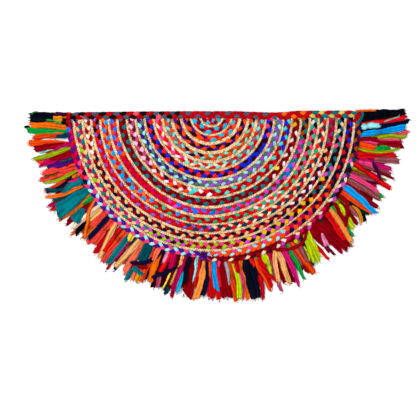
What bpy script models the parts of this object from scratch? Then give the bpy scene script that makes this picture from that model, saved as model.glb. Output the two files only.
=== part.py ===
"""Half-round braided doormat: half of a round rug of cotton and jute braids, with a rag fringe.

The braids lie side by side in half rings round the middle of the straight edge. Narrow jute braids
alternate with wider braids of coloured cotton rag. Each half ring is part of a spiral, so it ends a
little nearer to the middle on the right than it starts on the left. The last cotton braid starts at a
knot on the round side and runs to the right corner only. A wider braid finishes the straight edge and
is turned down over both corners. A fringe of cut rag strips lies all along the round side.

Units are metres. +X runs along the straight edge, +Y points from the round side to the straight edge,
and the mat lies flat on z = 0. A turn is an angle round the middle as a share of the half circle: 0 at
the left corner, 0.5 at the front and 1 at the right corner. The origin is the middle of the underside
of the whole mat's box, fringe included.
"""

import math
import random

import bmesh
import bpy
from mathutils import Vector

# Rows of braid, as radii and widths from the middle of the rings
WHOLE_ROWS = 15
LAST_ROW = WHOLE_ROWS + 1
FIRST_RADIUS = 0.0283
ROW_PITCH = 0.02115
SPIRAL_DRIFT = 0.0100
DRIFT_ROWS = 4
JUTE_WIDTH = 0.0064
JUTE_HEIGHT = 0.0064
COTTON_WIDTH = ROW_PITCH - JUTE_WIDTH - 0.0007
COTTON_HEIGHT = 0.0080
ROW_GAP = 0.00035
ROW_STEPS = {"inner": 16, "middle": 28, "outer": 56}
INNER_ROWS = 3

# The last cotton braid, which starts thin beside the knot and makes room for the last jute braid
LAST_START_WIDTH = 0.0065
LAST_FULL_WIDTH = 0.0150
LAST_END_WIDTH = 0.0136
SWELL_TURNS = (0.494, 0.62)
LIFT_TURNS = (0.655, 0.70)
LAST_JUTE_START = 0.672

# The braid along the straight edge
EDGE_WIDTH = 0.0190
EDGE_HEIGHT = 0.0090
EDGE_MIDDLE = (0.00485, -0.0024)
EDGE_SLOPE = 0.0040
EDGE_HALF_SPAN = 0.34525
EDGE_TURN_RADIUS = 0.0085
EDGE_TAIL = 0.0151
EDGE_END_WIDTH = 0.0132
EDGE_NARROWING = {"before": 0.0160, "after": 0.0080}
EDGE_LOBE = 0.0157
LOBE_NOTCH = 0.0016
LOBE_DIP = 0.0010
LOBE_TOP = 0.7 * EDGE_HEIGHT
EDGE_GAP = 0.0004

# The knot and the two ends of the braid that it joins
KNOT_TURN = 0.482
KNOT_HALF = Vector((0.0124, 0.0105, 0.0062))
KNOT_CENTRE_HEIGHT = 0.0050
KNOT_LUMP = 0.06
KNOT_LUMPS_ROUND = 3
KNOT_LUMP_TWIST = 4.0
KNOT_FULLNESS = 0.75
LEFT_END_TURN = 0.470
RIGHT_START_TURN = 0.494
RIM_STEP_TURNS = (0.456, 0.474)
CORNER_TURN = 0.027

# Fringe: a narrow backing with rag strips
STRIP_COUNT = 106
STRIP_UNEVEN = 0.42
STRIP_SEED = 7
FRINGE_TURNS = (-0.0040, 1.0080)
BACKING_GAP = 0.0011
BACKING_WIDTH = 0.0040
BACKING_HEIGHT = 0.0032
STRIP_FILL = 0.80
STRIP_BEND = 0.09
REACH_UNEVEN = 0.007
SWAY_WIDE = {"lean": 0.055, "waves": 3}
SWAY_FINE = {"lean": 0.016, "waves": 11}

# How far the strips' tips lie from the middle of the rings: farthest at the right corner
REACH_TABLE = (
    {"turn": 0.00, "reach": 0.437},
    {"turn": 0.27, "reach": 0.432},
    {"turn": 0.50, "reach": 0.440},
    {"turn": 0.58, "reach": 0.452},
    {"turn": 0.70, "reach": 0.444},
    {"turn": 0.94, "reach": 0.458},
    {"turn": 1.00, "reach": 0.470},
)

# Share of a strip's length, its width as a share of its slot, its height and the width of its top
STRIP_STEPS = (
    {"along": 0.30, "width": 0.85, "height": 0.0048, "top": 0.62},
    {"along": 0.68, "width": 0.82, "height": 0.0040, "top": 0.66},
    {"along": 1.00, "width": 0.70, "height": 0.0026, "top": 0.80},
)

# Outlines of the braids' cross-sections: share of the width across, share of the height up
COTTON_OUTLINE = ((-0.38, 0.0), (0.38, 0.0), (0.50, 0.45), (0.26, 1.0), (-0.26, 1.0), (-0.50, 0.45))
JUTE_OUTLINE = ((-0.38, 0.0), (0.38, 0.0), (0.50, 0.50), (0.0, 1.0), (-0.50, 0.50))

# The main colour of each cotton row, from the middle outwards
ROW_COLOURS = (
    (0.00, 0.48, 0.66),
    (0.00, 0.50, 0.70),
    (0.85, 0.09, 0.01),
    (0.12, 0.02, 0.30),
    (0.18, 0.62, 0.55),
    (0.60, 0.02, 0.08),
    (0.01, 0.08, 0.55),
    (0.25, 0.68, 0.68),
    (0.55, 0.16, 0.22),
    (0.25, 0.00, 0.02),
    (0.01, 0.30, 0.75),
    (0.02, 0.42, 0.26),
    (0.70, 0.01, 0.02),
    (0.01, 0.02, 0.10),
    (0.35, 0.68, 0.01),
    (0.80, 0.06, 0.25),
    (0.30, 0.02, 0.12),
)
JUTE_COLOUR = (0.80, 0.60, 0.36)
EDGE_COLOUR = (0.50, 0.00, 0.02)
KNOT_COLOUR = (0.06, 0.00, 0.20)
FRINGE_COLOUR = (0.70, 0.04, 0.01)
CLOTH_ROUGHNESS = 0.9

WELD_DISTANCE = 0.00001
SHARP_ANGLE = math.radians(40)


def smooth_step(value, low, high):
    """Ease from 0 at low to 1 at high, level at both ends."""
    share = min(1.0, max(0.0, (value - low) / (high - low)))
    return share * share * (3.0 - 2.0 * share)


def place(turn, radius):
    """The point at a turn and a radius: left, then front, then right."""
    angle = math.pi * turn
    return -radius * math.cos(angle), -radius * math.sin(angle)


def jute_radius(row, turn):
    """Centreline radius of a jute row: a step of one pitch a row, less the spiral's drift."""
    drift = SPIRAL_DRIFT * min(1.0, (row - 1) / DRIFT_ROWS)
    return FIRST_RADIUS + ROW_PITCH * (row - 1) + drift * (0.5 - turn)


def jute_band(row, turn):
    """Inner and outer radius of a whole jute row."""
    middle = jute_radius(row, turn)
    return middle - JUTE_WIDTH / 2, middle + JUTE_WIDTH / 2


def cotton_band(row, turn):
    """Inner and outer radius of a whole cotton row, between its two jute rows."""
    outer = jute_band(row + 1, turn)[0] - ROW_GAP
    if row == 0:
        return outer - COTTON_WIDTH, outer
    return jute_band(row, turn)[1] + ROW_GAP, outer


def last_cotton_band(turn):
    """Inner and outer radius of the last cotton row: thin at the knot, then lifted off the last jute."""
    swell = smooth_step(turn, *SWELL_TURNS)
    lift = smooth_step(turn, *LIFT_TURNS)
    width = LAST_START_WIDTH + (LAST_FULL_WIDTH - LAST_START_WIDTH) * swell
    width += (LAST_END_WIDTH - LAST_FULL_WIDTH) * lift
    inner = jute_band(LAST_ROW, turn)[0] + (JUTE_WIDTH + ROW_GAP) * lift
    return inner, inner + width


def last_jute_band(turn):
    """Inner and outer radius of the last jute row, which fills the room under the last cotton row."""
    return jute_band(LAST_ROW, turn)[0], last_cotton_band(turn)[0] - ROW_GAP


def rim_radius(turn):
    """Outer radius of the braided body, stepping out to the last cotton row beside the knot."""
    turn = min(1.0, max(0.0, turn))
    left_rim = cotton_band(WHOLE_ROWS, turn)[1]
    right_rim = last_cotton_band(turn)[1]
    return left_rim + (right_rim - left_rim) * smooth_step(turn, *RIM_STEP_TURNS)


def clear_scene():
    """Remove what a new file holds."""
    for item in list(bpy.data.objects):
        bpy.data.objects.remove(item)


def new_collection(name):
    """A collection in the scene."""
    collection = bpy.data.collections.new(name)
    bpy.context.scene.collection.children.link(collection)
    return collection


def cloth_material(name, colour):
    """A matt cloth of one colour."""
    material = bpy.data.materials.new(name)
    material.use_nodes = True
    shader = material.node_tree.nodes["Principled BSDF"]
    shader.inputs["Base Color"].default_value = (*colour, 1.0)
    shader.inputs["Roughness"].default_value = CLOTH_ROUGHNESS
    shader.inputs["Metallic"].default_value = 0.0
    return material


def outline_guide(name, outline, width, height, guides):
    """A closed outline that a braid's path carries, standing on the floor."""
    curve = bpy.data.curves.new(name, "CURVE")
    curve.dimensions = "2D"
    spline = curve.splines.new("POLY")
    spline.points.add(len(outline) - 1)
    spline.use_cyclic_u = True
    for point, (across, up) in zip(spline.points, outline):
        point.co = (across * width, up * height, 0.0, 1.0)
    guide = bpy.data.objects.new(name, curve)
    guide.hide_render = True
    guide.display_type = "WIRE"
    guides.objects.link(guide)
    return guide


def carried_mesh(name, guide, guide_width, path, widths, holder):
    """A closed mesh of a guide carried along a path, scaled to the width at each point."""
    curve = bpy.data.curves.new(name + "_path", "CURVE")
    curve.dimensions = "3D"
    curve.twist_mode = "Z_UP"
    curve.bevel_mode = "OBJECT"
    curve.bevel_object = guide
    curve.use_fill_caps = True
    spline = curve.splines.new("POLY")
    spline.points.add(len(path) - 1)
    for point, (x, y), width in zip(spline.points, path, widths):
        point.co = (x, y, 0.0, 1.0)
        point.radius = width / guide_width
    carrier = bpy.data.objects.new(name + "_path", curve)
    holder.objects.link(carrier)
    graph = bpy.context.evaluated_depsgraph_get()
    mesh = bpy.data.meshes.new_from_object(carrier.evaluated_get(graph))
    mesh.name = name
    bpy.data.objects.remove(carrier)
    return mesh


def cut_along_edge(work):
    """Cut a row's ends parallel to the braid of the straight edge, and close the cuts."""
    line = EDGE_MIDDLE[1] - EDGE_WIDTH / 2 - EDGE_GAP
    cut = bmesh.ops.bisect_plane(
        work,
        geom=work.verts[:] + work.edges[:] + work.faces[:],
        plane_co=(EDGE_MIDDLE[0], line, 0.0),
        plane_no=(-EDGE_SLOPE, 1.0, 0.0),
        clear_outer=True,
    )
    edges = [item for item in cut["geom_cut"] if isinstance(item, bmesh.types.BMEdge)]
    if edges:
        bmesh.ops.edgeloop_fill(work, edges=edges)


def finish_piece(name, mesh, colour, parts, root):
    """Make an object of a mesh, smooth between its sharp edges, with its own material."""
    mesh.shade_smooth()
    mesh.set_sharp_from_angle(angle=SHARP_ANGLE)
    mesh.materials.clear()
    mesh.materials.append(cloth_material(name + "_cloth", colour))
    piece = bpy.data.objects.new(name, mesh)
    piece.parent = root
    parts.objects.link(piece)
    return piece


def row_turns(start, end, steps):
    """The turns where a row has a section: its ends and the even steps between them."""
    between = [step / steps for step in range(steps + 1) if start < step / steps < end]
    return [start, *between, end]


def braid_row(name, band, turns, guide, guide_width, colour, parts, root):
    """One half ring of braid, between the inner and outer radius that its band gives."""
    path = []
    widths = []
    for turn in turns:
        inner, outer = band(turn)
        path.append(place(turn, (inner + outer) / 2))
        widths.append(outer - inner)
    mesh = carried_mesh(name, guide, guide_width, path, widths, parts)
    work = bmesh.new()
    work.from_mesh(mesh)
    bmesh.ops.remove_doubles(work, verts=work.verts[:], dist=WELD_DISTANCE)
    cut_along_edge(work)
    bmesh.ops.recalc_face_normals(work, faces=work.faces[:])
    work.to_mesh(mesh)
    work.free()
    return finish_piece(name, mesh, colour, parts, root)


def steps_for(row):
    """How many steps a half ring takes: fewer near the middle."""
    if row <= INNER_ROWS:
        return ROW_STEPS["inner"]
    return ROW_STEPS["middle"] if row < WHOLE_ROWS else ROW_STEPS["outer"]


def jute_rows(guide, parts, root):
    """The jute half rings, and the last one on the right."""
    for row in range(1, WHOLE_ROWS + 1):
        turns = row_turns(0.0, 1.0, steps_for(row))
        braid_row(
            f"jute_{row:02d}", lambda turn, row=row: jute_band(row, turn), turns,
            guide, JUTE_WIDTH, JUTE_COLOUR, parts, root,
        )
    turns = row_turns(LAST_JUTE_START, 1.0, steps_for(LAST_ROW))
    braid_row(f"jute_{LAST_ROW}", last_jute_band, turns, guide, JUTE_WIDTH, JUTE_COLOUR, parts, root)


def cotton_rows(guide, parts, root):
    """The cotton half rings, the row that the knot parts in two, and the last one on the right."""
    stretches = [(f"cotton_{row:02d}", row, 0.0, 1.0) for row in range(WHOLE_ROWS)]
    stretches.append((f"cotton_{WHOLE_ROWS}_left", WHOLE_ROWS, CORNER_TURN, LEFT_END_TURN))
    stretches.append((f"cotton_{WHOLE_ROWS}_right", WHOLE_ROWS, RIGHT_START_TURN, 1.0))
    for name, row, start, end in stretches:
        turns = row_turns(start, end, steps_for(row))
        braid_row(
            name, lambda turn, row=row: cotton_band(row, turn), turns,
            guide, COTTON_WIDTH, ROW_COLOURS[row], parts, root,
        )
    turns = row_turns(RIGHT_START_TURN, 1.0 - CORNER_TURN, steps_for(LAST_ROW))
    braid_row(
        f"cotton_{LAST_ROW}", last_cotton_band, turns,
        guide, COTTON_WIDTH, ROW_COLOURS[LAST_ROW], parts, root,
    )


def edge_place(run):
    """A point of the edge braid's centreline at a run from its middle: straight, a turn down, a tail."""
    straight = EDGE_HALF_SPAN - EDGE_TURN_RADIUS
    bend = min(max(abs(run) - straight, 0.0), EDGE_TURN_RADIUS * math.pi / 2) / EDGE_TURN_RADIUS
    tail = max(abs(run) - straight - EDGE_TURN_RADIUS * math.pi / 2, 0.0)
    out = min(abs(run), straight) + EDGE_TURN_RADIUS * math.sin(bend)
    down = EDGE_TURN_RADIUS * (1.0 - math.cos(bend)) + tail
    x = math.copysign(out, run)
    return EDGE_MIDDLE[0] + x, EDGE_MIDDLE[1] + EDGE_SLOPE * x - down


def edge_width(run):
    """Width of the edge braid: full along the edge, narrower where it turns down the corners."""
    straight = EDGE_HALF_SPAN - EDGE_TURN_RADIUS
    start = straight - EDGE_NARROWING["before"]
    end = straight + EDGE_NARROWING["after"]
    return EDGE_WIDTH + (EDGE_END_WIDTH - EDGE_WIDTH) * smooth_step(abs(run), start, end)


def raise_lobes(mesh, path):
    """Notch the sides and dip the top at every other section, staggered, as a plait's lobes lie."""
    for vertex in mesh.vertices:
        distances = [(vertex.co.x - x) ** 2 + (vertex.co.y - y) ** 2 for x, y in path]
        step = distances.index(min(distances))
        centre = Vector((*path[step], 0.0))
        outward = vertex.co - centre
        outward.z = 0.0
        before = Vector((*path[max(step - 1, 0)], 0.0))
        after = Vector((*path[min(step + 1, len(path) - 1)], 0.0))
        upper_side = (after - before).cross(outward).z > 0.0
        if step % 2 == (0 if upper_side else 1):
            vertex.co -= outward.normalized() * min(LOBE_NOTCH, outward.length / 2)
            if vertex.co.z > LOBE_TOP:
                vertex.co.z -= LOBE_DIP


def edge_braid(guide, parts, root):
    """The braid along the straight edge, with its lobes and its turned-down ends."""
    reach = EDGE_HALF_SPAN - EDGE_TURN_RADIUS + EDGE_TURN_RADIUS * math.pi / 2 + EDGE_TAIL
    count = 2 * round(reach / (EDGE_LOBE / 2))
    runs = [reach * (2 * step / count - 1) for step in range(count + 1)]
    path = [edge_place(run) for run in runs]
    widths = [edge_width(run) for run in runs]
    mesh = carried_mesh("edge_braid", guide, EDGE_WIDTH, path, widths, parts)
    work = bmesh.new()
    work.from_mesh(mesh)
    bmesh.ops.remove_doubles(work, verts=work.verts[:], dist=WELD_DISTANCE)
    bmesh.ops.recalc_face_normals(work, faces=work.faces[:])
    work.to_mesh(mesh)
    work.free()
    raise_lobes(mesh, path)
    finish_piece("edge_braid", mesh, EDGE_COLOUR, parts, root)


def knot(parts, root):
    """The knot that joins two lengths of braid: a lumpy ball that sits between their ends."""
    turn = KNOT_TURN
    inner = jute_band(WHOLE_ROWS, turn)[1]
    outer = rim_radius(turn)
    work = bmesh.new()
    bmesh.ops.create_uvsphere(work, u_segments=14, v_segments=9, radius=1.0)
    for vertex in work.verts:
        round_angle = math.atan2(vertex.co.y, vertex.co.x)
        wave = math.cos(KNOT_LUMPS_ROUND * round_angle + KNOT_LUMP_TWIST * vertex.co.z)
        lump = 1.0 - KNOT_LUMP * (1.0 + wave) / 2
        full = [math.copysign(abs(vertex.co[axis]) ** KNOT_FULLNESS, vertex.co[axis]) for axis in range(3)]
        vertex.co = Vector(full[axis] * lump * KNOT_HALF[axis] for axis in range(3))
        vertex.co.z = max(0.0, vertex.co.z + KNOT_CENTRE_HEIGHT)
    x, y = place(turn, (inner + outer) / 2)
    bmesh.ops.translate(work, verts=work.verts[:], vec=(x, y, 0.0))
    bmesh.ops.recalc_face_normals(work, faces=work.faces[:])
    mesh = bpy.data.meshes.new("knot")
    work.to_mesh(mesh)
    work.free()
    finish_piece("knot", mesh, KNOT_COLOUR, parts, root)


def tip_reach(turn):
    """How far from the middle the strips end at a turn, read between the rows of the reach table."""
    turn = min(1.0, max(0.0, turn))
    for before, after in zip(REACH_TABLE, REACH_TABLE[1:]):
        if turn <= after["turn"]:
            share = (turn - before["turn"]) / (after["turn"] - before["turn"])
            return before["reach"] + share * (after["reach"] - before["reach"])
    return REACH_TABLE[-1]["reach"]


def leaning(angle, along):
    """The angle to which a point of the fringe leans: slow waves, so that neighbours never cross."""
    wide = SWAY_WIDE["lean"] * math.sin(SWAY_WIDE["waves"] * angle) * along
    fine = SWAY_FINE["lean"] * math.sin(SWAY_FINE["waves"] * angle) * along * along
    return angle + wide + fine


def strip_table():
    """One row a strip: its middle angle, the half angle of its slot, its tip and its own bends."""
    rng = random.Random(STRIP_SEED)
    shares = [1.0 + STRIP_UNEVEN * rng.uniform(-1.0, 1.0) for _ in range(STRIP_COUNT)]
    low, high = (math.pi * turn for turn in FRINGE_TURNS)
    unit = (high - low) / sum(shares)
    rows = []
    for share in shares:
        slot = share * unit
        middle = low + slot / 2
        bends = [rng.uniform(-STRIP_BEND, STRIP_BEND) for _ in STRIP_STEPS]
        tip = tip_reach(middle / math.pi) + rng.uniform(-REACH_UNEVEN, REACH_UNEVEN)
        rows.append({"angle": middle, "half": slot / 2, "tip": tip, "bends": bends})
        low += slot
    return rows


def backing_corners(angle):
    """The four corners of the backing's section: inner low, outer low, outer high, inner high."""
    inner = rim_radius(angle / math.pi) + BACKING_GAP
    outer = inner + BACKING_WIDTH
    near = place(angle / math.pi, inner)
    far = place(angle / math.pi, outer)
    return (*near, 0.0), (*far, 0.0), (*far, BACKING_HEIGHT), (*near, BACKING_HEIGHT)


def grow(work, face, corners):
    """Extrude one face and move its corners to their new places."""
    grown = bmesh.ops.extrude_discrete_faces(work, faces=[face])["faces"][0]
    for vertex, corner in zip(grown.verts, corners):
        vertex.co = corner
    return grown


def grow_strip(work, root_face, row):
    """Grow one rag strip out of its root on the backing, in steps that bend, swell and taper."""
    signs = []
    for vertex in root_face.verts:
        angle = math.atan2(-vertex.co.y, -vertex.co.x)
        signs.append((1.0 if math.sin(angle - row["angle"]) > 0.0 else -1.0, vertex.co.z > 0.0))
    start = rim_radius(row["angle"] / math.pi) + BACKING_GAP + BACKING_WIDTH
    face = root_face
    for step, bend in zip(STRIP_STEPS, row["bends"]):
        radius = start + (row["tip"] - start) * step["along"]
        corners = []
        for side, is_high in signs:
            half = step["width"] * (step["top"] if is_high else 1.0)
            angle = leaning(row["angle"] + row["half"] * (bend + side * half), step["along"])
            x, y = place(angle / math.pi, radius)
            corners.append((x, y, step["height"] if is_high else 0.0))
        face = grow(work, face, corners)


def fringe(parts, root):
    """The fringe: one backing along the round side, with the rag strips grown out of it."""
    rows = strip_table()
    sections = []
    for row in rows:
        half = row["half"] * STRIP_FILL
        sections += [row["angle"] - half, row["angle"] + half]
    work = bmesh.new()
    bmesh.ops.create_grid(work, x_segments=1, y_segments=1, size=1.0)
    face = list(work.faces)[0]
    for vertex, corner in zip(face.verts, backing_corners(sections[0])):
        vertex.co = corner
    roots = []
    for angle in sections[1:]:
        face = grow(work, face, backing_corners(angle))
        walls = {wall for edge in face.edges for wall in edge.link_faces if wall is not face}
        roots.append(max(walls, key=lambda wall: wall.calc_center_median().xy.length))
    for root_face, row in zip(roots[::2], rows):
        grow_strip(work, root_face, row)
    open_edges = [edge for edge in work.edges if edge.is_boundary]
    bmesh.ops.holes_fill(work, edges=open_edges, sides=4)
    bmesh.ops.recalc_face_normals(work, faces=work.faces[:])
    mesh = bpy.data.meshes.new("fringe")
    work.to_mesh(mesh)
    work.free()
    finish_piece("fringe", mesh, FRINGE_COLOUR, parts, root)


def centre_on_box(parts, root):
    """Move the mat so that the middle of its box is over the origin."""
    points = [vertex.co for piece in parts.objects if piece.type == "MESH" for vertex in piece.data.vertices]
    for axis in (0, 1):
        values = [point[axis] for point in points]
        root.location[axis] = -(min(values) + max(values)) / 2


def build_doormat():
    """Build every piece of the mat."""
    clear_scene()
    parts = new_collection("braided_doormat")
    guides = new_collection("guides")
    root = bpy.data.objects.new("mat_root", None)
    parts.objects.link(root)
    cotton = outline_guide("cotton_outline", COTTON_OUTLINE, COTTON_WIDTH, COTTON_HEIGHT, guides)
    jute = outline_guide("jute_outline", JUTE_OUTLINE, JUTE_WIDTH, JUTE_HEIGHT, guides)
    edge = outline_guide("edge_outline", COTTON_OUTLINE, EDGE_WIDTH, EDGE_HEIGHT, guides)
    jute_rows(jute, parts, root)
    cotton_rows(cotton, parts, root)
    edge_braid(edge, parts, root)
    knot(parts, root)
    fringe(parts, root)
    centre_on_box(parts, root)


build_doormat()
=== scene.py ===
"""Looks of the braided half-round doormat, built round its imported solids."""

import math
from collections import namedtuple

import bpy
import numpy as np
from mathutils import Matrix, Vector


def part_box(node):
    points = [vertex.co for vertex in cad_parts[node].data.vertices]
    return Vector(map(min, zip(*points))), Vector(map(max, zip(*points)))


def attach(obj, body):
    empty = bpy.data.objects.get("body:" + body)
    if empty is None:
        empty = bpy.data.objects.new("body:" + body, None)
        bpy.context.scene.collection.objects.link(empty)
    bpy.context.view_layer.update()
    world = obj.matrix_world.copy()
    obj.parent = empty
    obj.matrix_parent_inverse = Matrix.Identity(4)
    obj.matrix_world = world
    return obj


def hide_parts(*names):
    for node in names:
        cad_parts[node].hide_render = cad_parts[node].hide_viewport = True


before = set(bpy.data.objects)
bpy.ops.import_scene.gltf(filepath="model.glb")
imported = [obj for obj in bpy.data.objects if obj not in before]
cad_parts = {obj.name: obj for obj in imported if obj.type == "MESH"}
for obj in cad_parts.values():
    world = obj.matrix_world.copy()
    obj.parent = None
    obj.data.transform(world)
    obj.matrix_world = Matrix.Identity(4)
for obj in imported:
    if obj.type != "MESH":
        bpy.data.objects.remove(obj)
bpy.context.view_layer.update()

MM = 0.001
UP = np.array((0.0, 0.0, 1.0))

# The rings, in metres, and in turns: 0 at the left corner, 0.5 at the front, 1 at the right corner
WHOLE_ROWS = 15
LAST_ROW = 16
FIRST_RADIUS = 0.0283
ROW_PITCH = 0.02115
SPIRAL_DRIFT = 0.0100
DRIFT_ROWS = 4
JUTE_WIDTH = 0.0064
JUTE_HEIGHT = 0.0064
COTTON_WIDTH = ROW_PITCH - JUTE_WIDTH - 0.0007
COTTON_HEIGHT = 0.0080
ROW_GAP = 0.00035
LAST_START_WIDTH = 0.0065
LAST_FULL_WIDTH = 0.0150
LAST_END_WIDTH = 0.0136
SWELL_TURNS = (0.494, 0.62)
LIFT_TURNS = (0.655, 0.70)
LAST_JUTE_START = 0.672
RIM_STEP_TURNS = (0.456, 0.474)

# The braid of the straight edge, turned down over both corners
EDGE_WIDTH = 0.0190
EDGE_HEIGHT = 0.0090
EDGE_MIDDLE = (0.00485, -0.0024)
EDGE_SLOPE = 0.0040
EDGE_HALF_SPAN = 0.34525
EDGE_TURN_RADIUS = 0.0085
EDGE_TAIL = 0.0151
EDGE_END_WIDTH = 0.0132
EDGE_NARROWING = {"before": 0.0160, "after": 0.0080}

# The knot: the turn at which it lies, and its half size in metres
KNOT_AT = 0.482
KNOT_HALF = np.array((0.0124, 0.0105, 0.0062))

# The middle of the rings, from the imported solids
edge_low, edge_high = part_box("edge_braid")
jute_low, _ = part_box("jute_01")
CENTRE = np.array((
    (edge_low.x + edge_high.x) / 2 - EDGE_MIDDLE[0],
    jute_low.y + FIRST_RADIUS + JUTE_WIDTH / 2,
))

# Dye colours, as red, green and blue from 0 to 255
DYES = {
    "crimson": (200, 0, 30),
    "deep_red": (178, 4, 18),
    "scarlet": (245, 25, 20),
    "red": (225, 10, 20),
    "dark_red": (150, 0, 15),
    "maroon": (100, 0, 15),
    "black_maroon": (50, 0, 10),
    "wine": (110, 10, 40),
    "orange": (255, 110, 10),
    "red_orange": (250, 70, 10),
    "rust": (170, 70, 0),
    "peach": (255, 182, 108),
    "peach_orange": (255, 145, 60),
    "coral": (255, 68, 55),
    "coral_peach": (255, 110, 80),
    "pale_peach": (250, 215, 190),
    "cyan": (0, 185, 225),
    "sky": (0, 160, 246),
    "azure": (0, 120, 255),
    "royal": (10, 40, 210),
    "navy": (12, 16, 52),
    "navy_black": (12, 16, 34),
    "indigo": (60, 20, 140),
    "purple": (80, 15, 130),
    "violet": (155, 70, 200),
    "lavender": (150, 85, 195),
    "teal": (0, 116, 127),
    "dark_teal": (0, 75, 90),
    "petrol": (0, 60, 80),
    "aqua": (120, 215, 200),
    "pale_aqua": (150, 232, 235),
    "turquoise": (60, 215, 205),
    "jade": (20, 182, 128),
    "green": (0, 165, 60),
    "dark_green": (0, 50, 30),
    "lime": (145, 200, 0),
    "citron": (198, 222, 5),
    "moss": (150, 172, 8),
    "mustard": (225, 140, 10),
    "gold": (235, 175, 0),
    "straw": (222, 190, 80),
    "yellow": (245, 215, 60),
    "white": (250, 225, 235),
    "cream": (248, 218, 175),
    "beige": (238, 188, 125),
    "pink": (248, 62, 130),
    "rose": (240, 85, 108),
    "orchid": (212, 62, 185),
    "raspberry": (200, 0, 80),
    "magenta": (215, 15, 115),
    "berry": (178, 6, 78),
    "dusty_rose": (200, 70, 110),
    "pale_pink": (250, 190, 215),
    "candy": (240, 135, 185),
    "mauve": (160, 75, 85),
    "plum": (75, 10, 65),
    "slate": (66, 88, 102),
    "grey": (110, 105, 125),
    "grey_blue": (150, 160, 175),
    "sage": (85, 110, 100),
    "olive": (90, 90, 20),
    "brown": (150, 70, 0),
    "black_brown": (30, 12, 10),
    "black": (6, 8, 20),
    "jute": (250, 222, 176),
    "tan": (186, 134, 84),
}

# How stout a braid's strand of a cloth is, as a share of the even width; others are STOUT_USUAL
STOUT = {
    "lavender": 0.80, "purple": 0.84, "turquoise": 0.82, "pale_aqua": 0.84, "aqua": 0.88, "cream": 0.82,
    "white": 0.86, "peach": 0.88, "beige": 0.90, "teal": 0.92, "jade": 0.94, "lime": 0.92, "brown": 0.86,
    "slate": 0.82, "straw": 0.84, "orange": 0.90,
}
STOUT_USUAL = 1.05

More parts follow.
